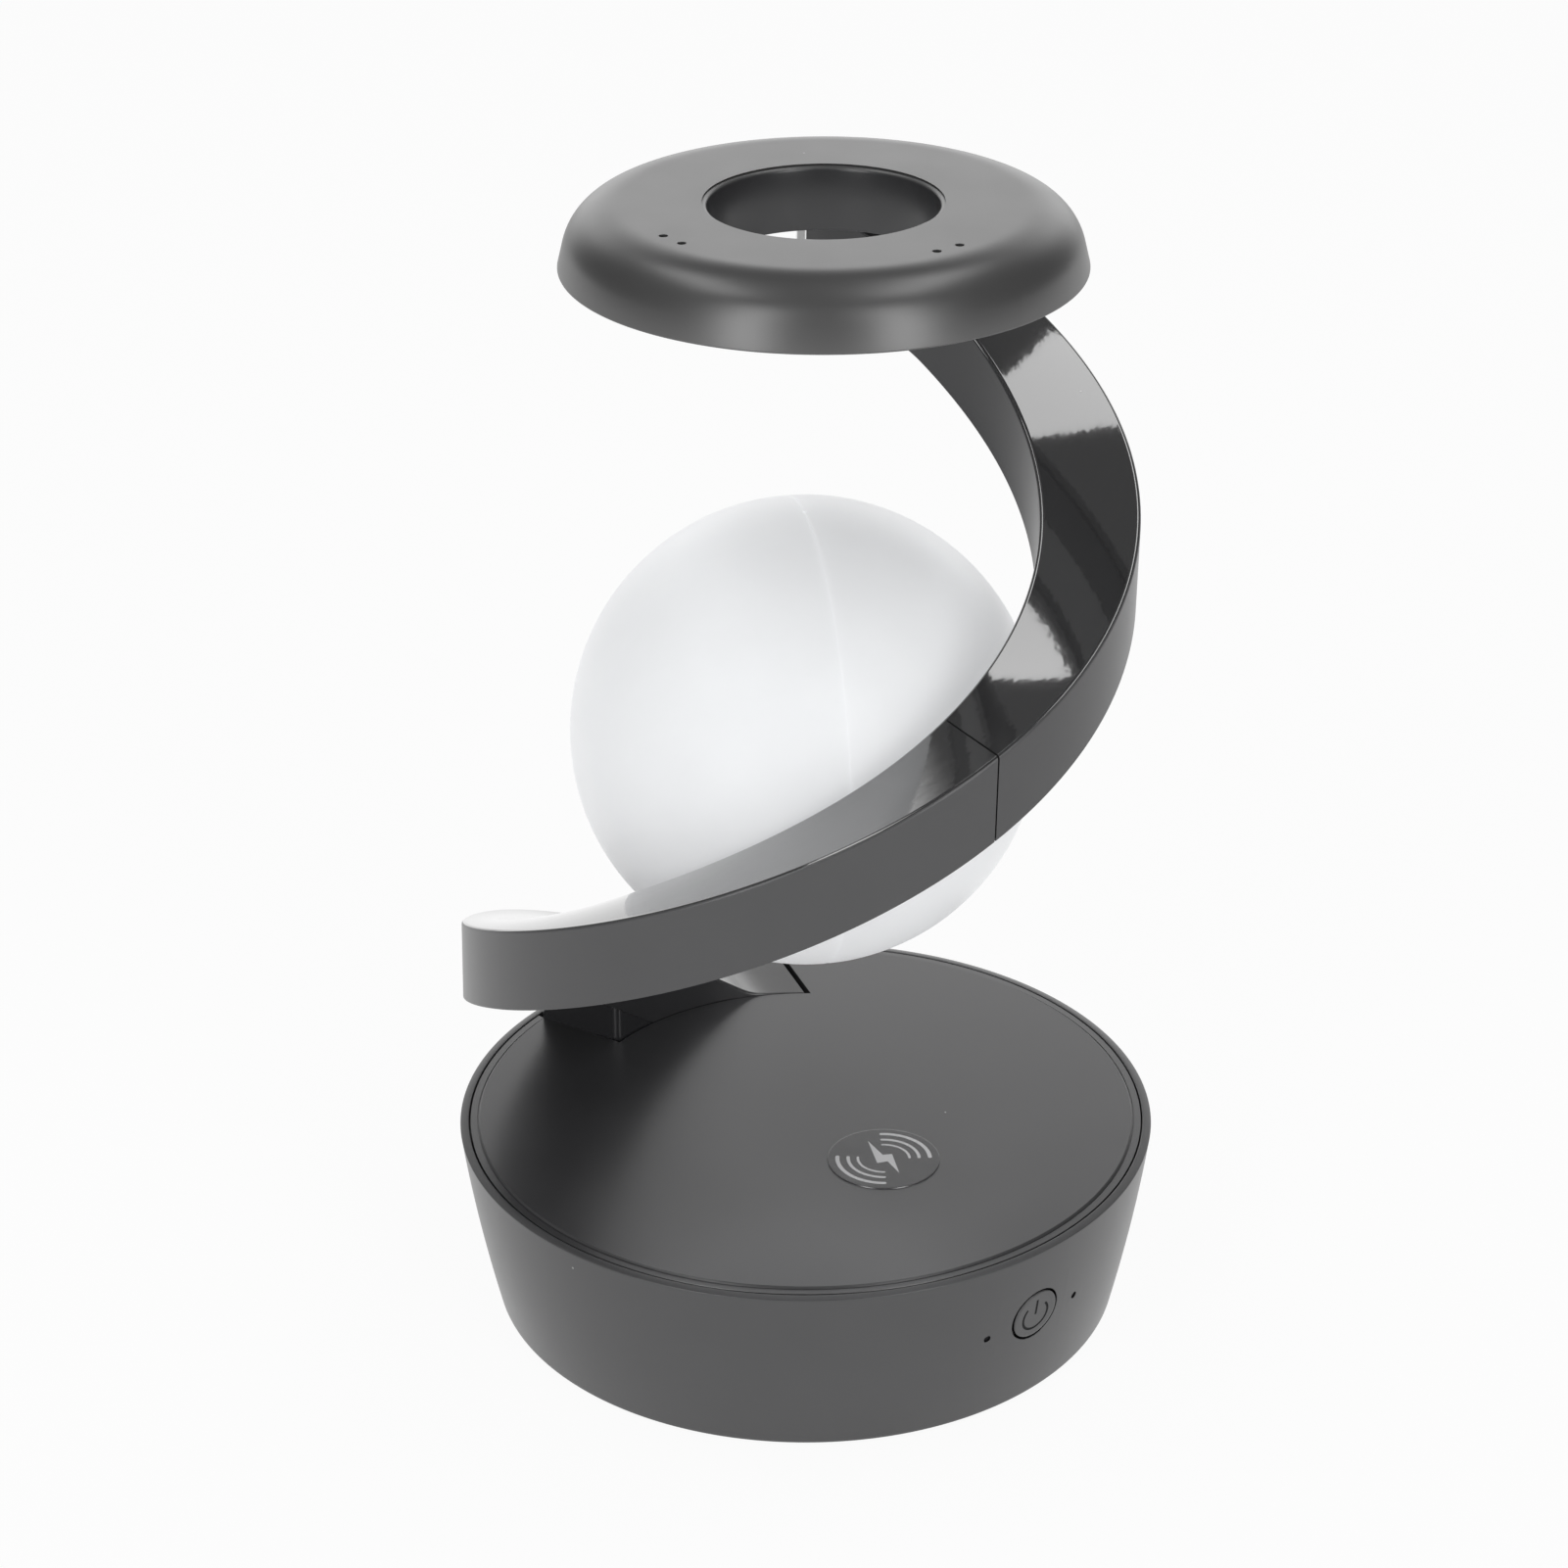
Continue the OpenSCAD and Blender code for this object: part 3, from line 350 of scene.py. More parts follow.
def drill(points, faces, per_turn, turn_span, row_span, to_flat, to_surface, hole_r, inward):
    """Cuts a round hole with a tube behind it into a patch of a turned surface."""
    shares_to_hole = (0.45, 0.8, 1.0)
    lip_share = 0.05
    (i0, i1), (k0, k1) = turn_span, row_span
    for i in range(i0, i1):
        for k in range(k0, k1):
            del faces[i, k]
    edge = [(i, k0) for i in range(i0, i1)] + [(i1, k) for k in range(k0, k1)]
    edge += [(i, k1) for i in range(i1, i0, -1)] + [(i0, k) for k in range(k1, k0, -1)]
    loop = [i * per_turn + k for i, k in edge]
    flats = [to_flat(points[v]) for v in loop]
    turns_right = sum(a.cross(b) for a, b in zip(flats, flats[1:] + flats[:1])) < 0
    for share in shares_to_hole:
        ring = [to_surface(flat.lerp(flat.normalized() * hole_r, share)) for flat in flats]
        loop = bridge(points, faces, loop, ring, turns_right)
    lip = [to_surface(flat.normalized() * (hole_r - 8 * FINE)) + inward * lip_share for flat in flats]
    loop = bridge(points, faces, loop, lip, turns_right)
    bridge(points, faces, loop, [p + inward for p in lip], turns_right)


def bridge(points, faces, loop, ring, flip):
    """Adds a ring of points and the faces that join it to a loop of earlier points."""
    start = len(points)
    points.extend(ring)
    fresh = [start + k for k in range(len(ring))]
    for k in range(len(ring)):
        m = (k + 1) % len(ring)
        face = (loop[k], loop[m], fresh[m], fresh[k])
        faces["patch", start, k] = face[::-1] if flip else face
    return fresh


def lathe(name, outline, turns, centre=(0, 0)):
    """Piece turned from a closed outline (radius, height)."""
    points, faces = lathe_grid(outline, turns)
    shift = Vector((centre[0], centre[1], 0))
    return add_mesh(name, [p + shift for p in points], list(faces.values()))


def cut_sheet(name, outlines, thickness, place, bevel=0.0):
    """Flat sheet with holes, cut to closed outlines and laid in a place given by a matrix."""
    curve = bpy.data.curves.new(name, "CURVE")
    curve.dimensions = "2D"
    curve.fill_mode = "BOTH"
    curve.extrude = thickness / 2 - bevel
    curve.bevel_depth = bevel
    curve.bevel_resolution = 1
    curve.offset = -bevel
    for outline in outlines:
        spline = curve.splines.new("POLY")
        spline.points.add(len(outline) - 1)
        for point, (x, y) in zip(spline.points, outline):
            point.co = (x, y, 0, 1)
        spline.use_cyclic_u = True
    source = bpy.data.objects.new(name + "_outline", curve)
    bpy.context.scene.collection.objects.link(source)
    bpy.context.view_layer.update()
    mesh = bpy.data.meshes.new_from_object(source)
    mesh.name = name
    mesh.transform(place)
    bpy.data.objects.remove(source)
    bpy.data.curves.remove(curve)
    piece = bpy.data.objects.new(name, mesh)
    bpy.context.scene.collection.objects.link(piece)
    return piece


def arc_stroke(radius, start, end, width, centre=(0, 0)):
    """Outline of a round-ended stroke along an arc between two angles in degrees."""
    angles = steps(start, end, 4)
    outer = [Vector(centre) + polar(radius + width / 2, a).to_2d() for a in angles]
    inner = [Vector(centre) + polar(radius - width / 2, a).to_2d() for a in reversed(angles)]
    cap_out = [
        Vector(centre) + polar(radius, end).to_2d() + polar(width / 2, end + turn).to_2d()
        for turn in (30, 60, 90, 120, 150)
    ]
    cap_back = [
        Vector(centre) + polar(radius, start).to_2d() + polar(width / 2, start + turn).to_2d()
        for turn in (210, 240, 270, 300, 330)
    ]
    return outer + cap_out + inner + cap_back


# Shader groups

def socket(group, name, kind, direction, value=None):
    """Adds a named socket to a node group."""
    made = group.interface.new_socket(name=name, in_out=direction, socket_type=kind)
    if value is not None:
        made.default_value = value


def link(tree, source, target):
    """Joins an output socket to an input socket."""
    tree.links.new(source, target)


def node(tree, kind, **settings):
    """Adds a node and sets its fields, or its inputs where the name is one of theirs."""
    made = tree.nodes.new(kind)
    for name, value in settings.items():
        label = name.replace("_", " ")
        if hasattr(made, name):
            setattr(made, name, value)
        else:
            made.inputs[label].default_value = value
    return made


def maths(tree, operation, first, second):
    """Math node on two values or sockets; returns its output."""
    made = node(tree, "ShaderNodeMath", operation=operation)
    for place, value in enumerate((first, second)):
        if isinstance(value, (int, float)):
            made.inputs[place].default_value = value
        else:
            link(tree, value, made.inputs[place])
    return made.outputs[0]


def eased(tree, value, low, high):
    """Soft step of a value from 0 at its low end to 1 at its high end."""
    ramp = node(tree, "ShaderNodeMapRange", interpolation_type="SMOOTHSTEP")
    ramp.inputs["From Min"].default_value = low
    ramp.inputs["From Max"].default_value = high
    link(tree, value, ramp.inputs["Value"])
    return ramp.outputs["Result"]


def moulded_plastic_group():
    """Colour, roughness and height of moulded plastic with fine grain and specks of dust."""
    group = bpy.data.node_groups.new("moulded_plastic", "ShaderNodeTree")
    socket(group, "Color", "NodeSocketColor", "INPUT", (0.1, 0.1, 0.1, 1))
    socket(group, "Dust Color", "NodeSocketColor", "INPUT", (0.6, 0.6, 0.6, 1))
    socket(group, "Dust", "NodeSocketFloat", "INPUT", 1.0)
    socket(group, "Roughness", "NodeSocketFloat", "INPUT", 0.4)
    socket(group, "Variation", "NodeSocketFloat", "INPUT", 0.1)
    socket(group, "Grain Size", "NodeSocketFloat", "INPUT", 3000.0)
    socket(group, "Color", "NodeSocketColor", "OUTPUT")
    socket(group, "Roughness", "NodeSocketFloat", "OUTPUT")
    socket(group, "Height", "NodeSocketFloat", "OUTPUT")
    given = group.nodes.new("NodeGroupInput").outputs
    result = group.nodes.new("NodeGroupOutput").inputs
    place = group.nodes.new("ShaderNodeTexCoord").outputs["Object"]

    grain = node(group, "ShaderNodeTexNoise", Detail=2.0, Roughness=0.6)
    link(group, place, grain.inputs["Vector"])
    link(group, given["Grain Size"], grain.inputs["Scale"])
    cloud = node(group, "ShaderNodeTexNoise", Scale=45.0, Detail=3.0, Roughness=0.55)
    link(group, place, cloud.inputs["Vector"])

    # Dust: few of the many small cells hold a speck, and its radius is a share of a cell
    speck_r = 0.06
    empty_share = 0.975
    cells = node(group, "ShaderNodeTexVoronoi", Scale=230.0, Randomness=1.0)
    link(group, place, cells.inputs["Vector"])
    near = maths(group, "LESS_THAN", cells.outputs["Distance"], speck_r)
    parts = node(group, "ShaderNodeSeparateColor")
    link(group, cells.outputs["Color"], parts.inputs[0])
    rare = maths(group, "GREATER_THAN", parts.outputs[0], empty_share)
    speck = maths(group, "MULTIPLY", maths(group, "MULTIPLY", near, rare), given["Dust"])

    # Colour: it varies softly between a darker and a lighter shade
    dark, light = 0.92, 1.08
    shade = maths(group, "MULTIPLY_ADD", cloud.outputs["Fac"], light - dark)
    shade.node.inputs[2].default_value = dark
    tint = node(group, "ShaderNodeMix", data_type="RGBA", blend_type="MULTIPLY")
    tint.inputs["Factor"].default_value = 1.0
    link(group, given["Color"], tint.inputs["A"])
    link(group, shade, tint.inputs["B"])
    dusty = node(group, "ShaderNodeMix", data_type="RGBA")
    link(group, speck, dusty.inputs["Factor"])
    link(group, tint.outputs["Result"], dusty.inputs["A"])
    link(group, given["Dust Color"], dusty.inputs["B"])
    link(group, dusty.outputs["Result"], result["Color"])

    centred = maths(group, "SUBTRACT", cloud.outputs["Fac"], 0.5)
    spread = maths(group, "MULTIPLY", centred, given["Variation"])
    link(group, maths(group, "ADD", spread, given["Roughness"]), result["Roughness"])
    link(group, grain.outputs["Fac"], result["Height"])
    return group


PLASTIC = moulded_plastic_group()


def new_material(name):
    """Empty material with its Principled shader and its output."""
    material = bpy.data.materials.new(name)
    material.use_nodes = True
    tree = material.node_tree
    tree.nodes.clear()
    shader = tree.nodes.new("ShaderNodeBsdfPrincipled")
    link(tree, shader.outputs[0], tree.nodes.new("ShaderNodeOutputMaterial").inputs["Surface"])
    return material, tree, shader


def plastic(name, color, roughness, variation=0.1, bump=0.00001, grain=3000.0, dust=0.0, **shader_values):
    """Moulded plastic, painted or bare, from the shared group."""
    material, tree, shader = new_material(name)
    mix = tree.nodes.new("ShaderNodeGroup")
    mix.node_tree = PLASTIC
    mix.inputs["Color"].default_value = (*color, 1)
    mix.inputs["Dust"].default_value = dust
    mix.inputs["Roughness"].default_value = roughness
    mix.inputs["Variation"].default_value = variation
    mix.inputs["Grain Size"].default_value = grain
    link(tree, mix.outputs["Color"], shader.inputs["Base Color"])
    link(tree, mix.outputs["Roughness"], shader.inputs["Roughness"])
    relief = node(tree, "ShaderNodeBump", Strength=1.0, Distance=bump)
    link(tree, mix.outputs["Height"], relief.inputs["Height"])
    link(tree, relief.outputs[0], shader.inputs["Normal"])
    link(tree, relief.outputs[0], shader.inputs["Coat Normal"])
    for label, value in shader_values.items():
        shader.inputs[label.replace("_", " ")].default_value = value
    return material


def satin_start(material, low, high, roughness):
    """Makes a glossy material satin below a height and eases it to its gloss above."""
    tree = material.node_tree
    shader = tree.nodes["Principled BSDF"]
    place = tree.nodes.new("ShaderNodeTexCoord")
    parts = tree.nodes.new("ShaderNodeSeparateXYZ")
    link(tree, place.outputs["Object"], parts.inputs[0])
    gloss = eased(tree, parts.outputs["Z"], low, high)
    mix = node(tree, "ShaderNodeMix", data_type="FLOAT")
    mix.inputs["A"].default_value = roughness
    link(tree, gloss, mix.inputs["Factor"])
    link(tree, shader.inputs["Roughness"].links[0].from_socket, mix.inputs["B"])
    link(tree, mix.outputs["Result"], shader.inputs["Roughness"])
    coat = shader.inputs["Coat Weight"].default_value
    link(tree, maths(tree, "MULTIPLY", gloss, coat), shader.inputs["Coat Weight"])


def metal(name, color, roughness):
    """Plated or wound metal with a fine uneven sheen."""
    return plastic(name, color, roughness, variation=0.15, bump=0.000004, grain=5000.0, Metallic=1.0)


SATIN_GRAIN = {"variation": 0.08, "bump": 0.000006, "grain": 4200.0}
SATIN_GREY = plastic("satin_grey", (0.073, 0.073, 0.075), 0.31, dust=0.5, **SATIN_GRAIN)
# Plate: the same satin grey plastic as the wall, with its colour painted darker; the darker tone is
# painted shade
PLATE_SHADED_GREY = plastic(
    "plate_shaded_grey", (0.036, 0.036, 0.038), 0.3, dust=1.0, IOR=1.7, Specular_IOR_Level=0.74, **SATIN_GRAIN
)
# Darker copy of the satin grey for the head's hole wall and the arm's inner wall: painted shade on walls
# that lie in shade
SATIN_PAINTED_SHADE = plastic("satin_painted_shade", (0.032, 0.032, 0.034), 0.3, Specular_IOR_Level=0.6, **SATIN_GRAIN)
# Head: the satin grey plastic with its colour painted darker, as painted shade for the less light it gets
# from the floor
HEAD_SHADED_GREY = plastic(
    "head_shaded_grey", (0.045, 0.045, 0.045), 0.36, variation=0.08, bump=0.000005, grain=4200.0, dust=0.3,
    IOR=1.7, Specular_IOR_Level=0.75
)
GLOSS_GREY = plastic(
    "gloss_grey", (0.034, 0.034, 0.035), 0.07, variation=0.03, bump=0.00002, grain=230.0, dust=0.3,
    Specular_IOR_Level=0.85, Coat_Weight=0.9, Coat_Roughness=0.05, Coat_IOR=1.8
)
satin_start(GLOSS_GREY, SATIN_BELOW, GLOSS_ABOVE, roughness=0.3)
# Foot block: the gloss grey, a little rougher, with its colour painted darker as painted shade under the
# arm
GLOSS_PAINTED_SHADE = plastic(
    "gloss_painted_shade", (0.026, 0.026, 0.028), 0.14, variation=0.05, bump=0.000006, grain=2400.0, Coat_Weight=0.6
)
BLACK_PLASTIC = plastic("black_plastic", (0.03, 0.03, 0.032), 0.5, bump=0.00002, grain=1800.0)
# Near black for the insides of holes and gaps and the floor of the cut power sign: painted shade in these
# recesses
RECESS_PAINTED_SHADE = plastic("recess_painted_shade", (0.008, 0.008, 0.009), 0.5, Specular_IOR_Level=0.12)
SIGN_LIGHT = plastic("sign_light", (0.6, 0.6, 0.61), 0.45)
MARK_FILM = plastic(
    "mark_film", (0.042, 0.042, 0.044), 0.24, grain=600.0, dust=0.6, IOR=1.7, Specular_IOR_Level=0.8
)
RUBBER = plastic("rubber", (0.02, 0.02, 0.02), 0.75, bump=0.00003, grain=1500.0)
# Ball: milky plastic with a faint white emission, a painted glow that stands in for light passing through
# it
BALL_MILK_PAINTED_GLOW = plastic(
    "ball_milk_painted_glow", (0.6, 0.61, 0.62), 0.38, variation=0.06, bump=0.000004,
    Subsurface_Weight=0.25, Subsurface_Scale=0.006, Subsurface_Radius=(1.0, 1.0, 1.0),
    Emission_Color=(0.98, 0.985, 1.0, 1.0), Emission_Strength=0.36, Specular_IOR_Level=0.15
)
MILK_PLASTIC = plastic("milk_plastic", (0.3, 0.3, 0.3), 0.35)
STEEL = metal("steel", (0.62, 0.62, 0.64), 0.3)
COPPER = metal("copper", (0.72, 0.38, 0.22), 0.35)
FERRITE = plastic("ferrite", (0.06, 0.06, 0.062), 0.6, variation=0.15, bump=0.00003, grain=1400.0)
BOARD_GREEN = plastic("board_green", (0.02, 0.14, 0.06), 0.35)

SLOT_FINISH = {
    "satin_grey": SATIN_GREY, "gloss_grey": GLOSS_GREY, "black_plastic": BLACK_PLASTIC,
    "milk_plastic": MILK_PLASTIC, "clear_label": MARK_FILM, "rubber": RUBBER, "steel": STEEL,
    "ferrite": FERRITE, "copper": COPPER, "circuit_board": BOARD_GREEN,
}
# The indicator pins take the near black as painted shade deep in their holes; the head's neck and the
# arm's end cap take the satin grey
NODE_FINISH = {"indicator_pins": RECESS_PAINTED_SHADE, "head_neck": SATIN_GREY, "arm_end_cap": SATIN_GREY}


def dress(piece, materials, body, slot, *nodes):
    """Gives a piece its materials, its body and the CAD nodes it stands for; the record slot is not used.
    """
    for material in materials:
        piece.data.materials.append(material)
    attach(piece, body)
    if nodes:
        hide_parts(*nodes)
    return piece


# Base

def at_wall(az, depth):
    """Frame of a hole in the side wall: origin, sideways and upward directions, outward normal."""
    reach = 0.001
    lean = math.atan2(side_r(depth - reach) - side_r(depth + reach), 2 * reach)
    outward = polar(math.cos(lean), az, -math.sin(lean))
    sideways = Vector((-math.sin(math.radians(az)), math.cos(math.radians(az)), 0))
    return polar(side_r(depth), az, RIM_Z - depth), sideways, outward.cross(sideways), outward


def drill_wall(points, faces, per_turn, turns, rows, az, depth, hole_r, reach_az, reach_rows):
    """Drills a hole through the side wall, square to it."""
    origin, sideways, upward, outward = at_wall(az, depth)
    first_row, row_h = rows

    def to_flat(point):
        return Vector(((point - origin).dot(sideways), (point - origin).dot(upward)))

    def to_surface(flat):
        down = depth - flat.y * upward.z
        turn = math.degrees(math.asin(flat.x / side_r(down)))
        return polar(side_r(down), az + turn, RIM_Z - down)

    middle_turn = round(az / 360 * turns)
    middle_row = first_row + round(depth / row_h)
    drill(
        points, faces, per_turn,
        (middle_turn - reach_az, middle_turn + reach_az),
        (middle_row - reach_rows, middle_row + reach_rows),
        to_flat, to_surface, hole_r, outward * -TUBE_DEPTH
    )


def base_drum():
    """Drum with its rounded rim, bulging side, button hole and two pin holes."""
    rows = 40
    row_h = (SIDE_H - SIDE_BAND) / rows
    rim = rounded([
        (RIM_IN_R, RIM_Z - PLATE_T, 0), (RIM_IN_R, RIM_Z, RIM_EDGE),
        (BASE_R, RIM_Z - RIM_DROP, RIM_EDGE), (side_r(SIDE_BAND), RIM_Z - SIDE_BAND, 0)
    ])[:-1]
    side = [Vector((side_r(row_h * i), RIM_Z - row_h * i)) for i in range(1, rows + 1)]
    bottom_r = side_r(SIDE_H)
    ledge_z = RIM_Z - PLATE_T
    slope_h = 0.01
    inside = rounded([
        (side_r(SIDE_H - SIDE_BAND), FOOT_OUT + SIDE_BAND, 0), (bottom_r, FOOT_OUT, FOOT_EDGE),
        (bottom_r - WALL_T, FOOT_OUT, 0), (side_r(slope_h) - WALL_T, RIM_Z - slope_h, 0),
        (RIM_IN_R - LEDGE_W, ledge_z - LEDGE_T, 0), (RIM_IN_R - LEDGE_W, ledge_z, 0)
    ])[1:]
    outline = rim + side + inside
    turns = 240
    points, faces = lathe_grid(outline, turns)
    first_row = len(rim) - 1
    wall = (points, faces, len(outline), turns, (first_row, row_h))
    drill_wall(*wall, BUTTON_AZ, BUTTON_DOWN, BUTTON_R + BUTTON_GAP, reach_az=5, reach_rows=8)
    for turn in (-PIN_SIDE, PIN_SIDE):
        drill_wall(*wall, BUTTON_AZ + turn, PIN_DOWN, PIN_R, reach_az=1, reach_rows=2)
    drum = add_mesh("base_drum", points, list(faces.values()))
    dress(drum, [SATIN_GREY, RECESS_PAINTED_SHADE], "lamp", "satin_grey", "base_shell")
    # Faces inside the drilled holes take the near black: painted shade in the holes
    skin = 0.0003
    for polygon, key in zip(drum.data.polygons, faces):
        surface_r = side_r(RIM_Z - polygon.center.z)
        if key[0] == "patch" and polygon.center.to_2d().length < surface_r - skin:
            polygon.material_index = 1
    return drum


def slit_line(inset):
    """A point and a direction of the plate's edge beside the slit, drawn back by an inset."""
    inner = arm_point(ARM_START, arm_in(ARM_START), RIM_Z).to_2d()
    outer = arm_point(ARM_START, arm_out(ARM_START), RIM_Z).to_2d()
    ahead = (outer - inner).normalized()
    return inner + Vector((ahead.y, -ahead.x)) * (SLIT_W + inset), ahead


def on_circle(point, ahead, radius):
    """Where a line from a point meets a circle about the centre, as a point."""
    b = point.dot(ahead)
    return point + ahead * (-b + math.sqrt(b * b - point.length_squared + radius * radius))


def plate_outline(inset, height, rim_r, rim_z):
    """Plate's edge: round the rim, and at a height along the arm's opening, drawn back by an inset."""
    slit_from, slit_ahead = slit_line(inset)
    inner_r = ARM_IN_R - NOSE_GAP - inset
    end_ahead = polar(1, FOOT_END).to_2d()
    end_from = Vector((-end_ahead.y, end_ahead.x)) * (PLATE_GAP + inset)
    slit_in, slit_out = on_circle(slit_from, slit_ahead, inner_r), on_circle(slit_from, slit_ahead, rim_r)
    end_in, end_out = on_circle(end_from, end_ahead, inner_r), on_circle(end_from, end_ahead, rim_r)

    def azimuth(point):
        return math.degrees(math.atan2(point.y, point.x)) % 360

    rim_from, rim_to = azimuth(end_out), azimuth(slit_out) + 360
    rim = [polar(rim_r, rim_from + (rim_to - rim_from) * i / 180, rim_z) for i in range(181)]
    inner_from, inner_to = azimuth(slit_in), azimuth(end_in)
    inner = [polar(inner_r, inner_from + (inner_to - inner_from) * i / 24, height) for i in range(25)]
    slit = [slit_out.lerp(slit_in, i / 8).to_3d() + Vector((0, 0, height)) for i in range(1, 8)]
    end = [end_in.lerp(end_out, i / 8).to_3d() + Vector((0, 0, height)) for i in range(1, 8)]
    return rim + slit + inner + end


def top_plate():
    """Top plate with a raised flat, a fine line round it and the opening where the arm starts."""
    low = RIM_Z - PLATE_T + 15 * FINE
    foot_r = LINE_R - LINE_W
    rings = [
        plate_outline(0, low, PLATE_R, low),
        plate_outline(0, PLATE_Z - 20 * FINE, PLATE_R, RIM_Z - 12 * FINE),
        plate_outline(FINE, PLATE_Z - 15 * FINE, PLATE_R - 6 * FINE, RIM_Z - 4 * FINE),
        plate_outline(2 * FINE, PLATE_Z - 12 * FINE, LINE_R, RIM_Z - 2 * FINE),
        plate_outline(3 * FINE, PLATE_Z - 10 * FINE, LINE_R - 2 * FINE, RIM_Z - LINE_D),
        plate_outline(4 * FINE, PLATE_Z - 8 * FINE, foot_r + 2 * FINE, RIM_Z - LINE_D),
        plate_outline(5 * FINE, PLATE_Z - 6 * FINE, foot_r, RIM_Z),
        plate_outline(8 * FINE, PLATE_Z - 3 * FINE, foot_r - 0.8 * PLATE_LIFT, PLATE_Z - 6 * FINE),
        plate_outline(12 * FINE, PLATE_Z, foot_r - PLATE_LIFT, PLATE_Z),
    ]
    plate = loft("base_plate", rings, crease=20)
    return dress(plate, [PLATE_SHADED_GREY], "lamp", "satin_grey", "top_plate")


# Spiral arm

def channel_outline(az):
    """Section of an arm moulding: a channel with rounded edges, open below."""
    r_in, r_out = arm_in(az), arm_out(az)
    top, under = arm_top(az), arm_under(az)
    edge = ARM_EDGE * (START_SHARE + (1 - START_SHARE) * soft((az - ARM_START) / NOSE_BLEND))
    hollow_in, hollow_out, hollow_top = r_in + ARM_WALL, r_out - ARM_WALL, top - ARM_WALL
    return held(rounded([
        (r_out, under, LOW_EDGE), (r_out, top, edge), (r_in, top, edge), (r_in, under, LOW_EDGE),
        (hollow_in, under, INNER_EDGE), (hollow_in, hollow_top, INNER_EDGE),
        (hollow_out, hollow_top, INNER_EDGE), (hollow_out, under, INNER_EDGE)
    ]), (0, 1, 2))


def arm_moulding(name, start, end, node_name):
    """Arm moulding between two angles: glossy on top, satin on its outer and inner wall."""
    angles = steps(start, end, ARM_STEP)
    rings = [[arm_point(az, p.x, p.y) for p in channel_outline(az)] for az in angles]
    moulding = loft(name, rings)
    dress(moulding, [GLOSS_GREY, SATIN_GREY, SATIN_PAINTED_SHADE], "lamp", "gloss_grey", node_name)
    # Rows of faces up the outer wall and down the inner wall, in the order of channel_outline; the inner
    # wall takes the darker satin, a painted shade
    outer_rows, inner_rows = range(2, 12), range(23, 32)
    n = len(rings[0])
    for i in range(len(angles) - 1):
        for k in outer_rows:
            moulding.data.polygons[i * n + k].material_index = 1
        for k in inner_rows:
            moulding.data.polygons[i * n + k].material_index = 2
    return moulding


def arm_foot():
    """Block under the arm's start, with its outline rounded at the two free corners."""
    bend_az = 2.3
    slant_in, slant_out = -0.2, 1.2
    face_from, face_to = 0.09, 0.93
    inner = [polar(FOOT_IN_R, az) for az in steps(FOOT_IN_START, FOOT_END - bend_az, 3)]
    corner_in = polar(FOOT_IN_R, FOOT_END + slant_in)
    corner_out = polar(FOOT_OUT_R, FOOT_END + slant_out)
    outer = [polar(FOOT_OUT_R, az) for az in steps(FOOT_END, FOOT_OUT_START, 3)]
    end_in, end_out = corner_in.lerp(corner_out, face_from), corner_in.lerp(corner_out, face_to)
    turn_in = [bend((inner[-1], corner_in, end_in), i / 6) for i in range(1, 7)]
    turn_out = [bend((end_out, corner_out, outer[0]), i / 5) for i in range(5)]
    plan = inner + turn_in + turn_out + outer
    low = RIM_Z - FOOT_DEPTH
    seat = 0.0002
    rings = []
    for share in (0, 1):
        ring = []
        for p in plan:
            az = math.degrees(math.atan2(p.y, p.x))
            high = arm_under(min(az, FOOT_END)) + seat
            ring.append(Vector((p.x, p.y, low + (high - low) * share)))
        rings.append(ring)
    foot = loft("arm_foot_block", rings)
    return dress(foot, [GLOSS_PAINTED_SHADE], "lamp", "gloss_grey", "arm_foot")


# Lamp head

def head_cover():
    """Ring-shaped cover with its through hole, rounded shoulder and four small vents."""
    side_top = Vector((HEAD_R - HEAD_LIP, HEAD_Z + HEAD_SIDE_H))
    flat_end = Vector((HEAD_FLAT_R, HEAD_TOP))
    above_side = side_top + Vector((-HEAD_LIP / HEAD_SIDE_H, 1)) * ROUND_PULL * (HEAD_TOP - side_top.y)
    beside_flat = flat_end + Vector((ROUND_PULL * (side_top.x - HEAD_FLAT_R), 0))
    flat_from = HOLE_R + HOLE_EDGE + 10 * FINE
    flat_rows = 18
    flat = [Vector((flat_from + i * FLAT_STEP, HEAD_TOP)) for i in range(flat_rows)]
    shoulder = [bend((flat_end, beside_flat, above_side, side_top), i / 20) for i in range(21)]
    edge, inner_edge = 0.0003, 0.0002
    hollow_top = HEAD_TOP - HEAD_WALL
    lower = rounded([
        (side_top.x, side_top.y, 0), (HEAD_R, HEAD_Z, edge), (HEAD_R - HEAD_WALL, HEAD_Z, inner_edge),
        (side_top.x - HEAD_WALL, side_top.y, 0), (HEAD_FLAT_R, hollow_top, 0),
        (HOLE_R + HEAD_WALL, hollow_top, 0), (HOLE_R + HEAD_WALL, HEAD_Z - HOLE_LIP, inner_edge),
        (HOLE_R, HEAD_Z - HOLE_LIP, edge), (HOLE_R, HEAD_TOP, HOLE_EDGE)
    ])[1:]
    outline = flat + shoulder + lower
    turns = 288
    points, faces = lathe_grid(outline, turns)
    for az in VENT_AZ:
        drill_head(points, faces, len(outline), turns, az)
    shift = Vector((HEAD_X, 0, 0))
    cover = add_mesh("head_cover", [p + shift for p in points], list(faces.values()))
    dress(cover, [HEAD_SHADED_GREY, SATIN_PAINTED_SHADE], "lamp", "satin_grey", "head_shell")
    # Faces of the through hole take the darker satin: painted shade inside the hole
    for polygon in cover.data.polygons:
        if (polygon.center - shift).to_2d().length < HOLE_R + 10 * FINE:
            polygon.material_index = 1
    return cover


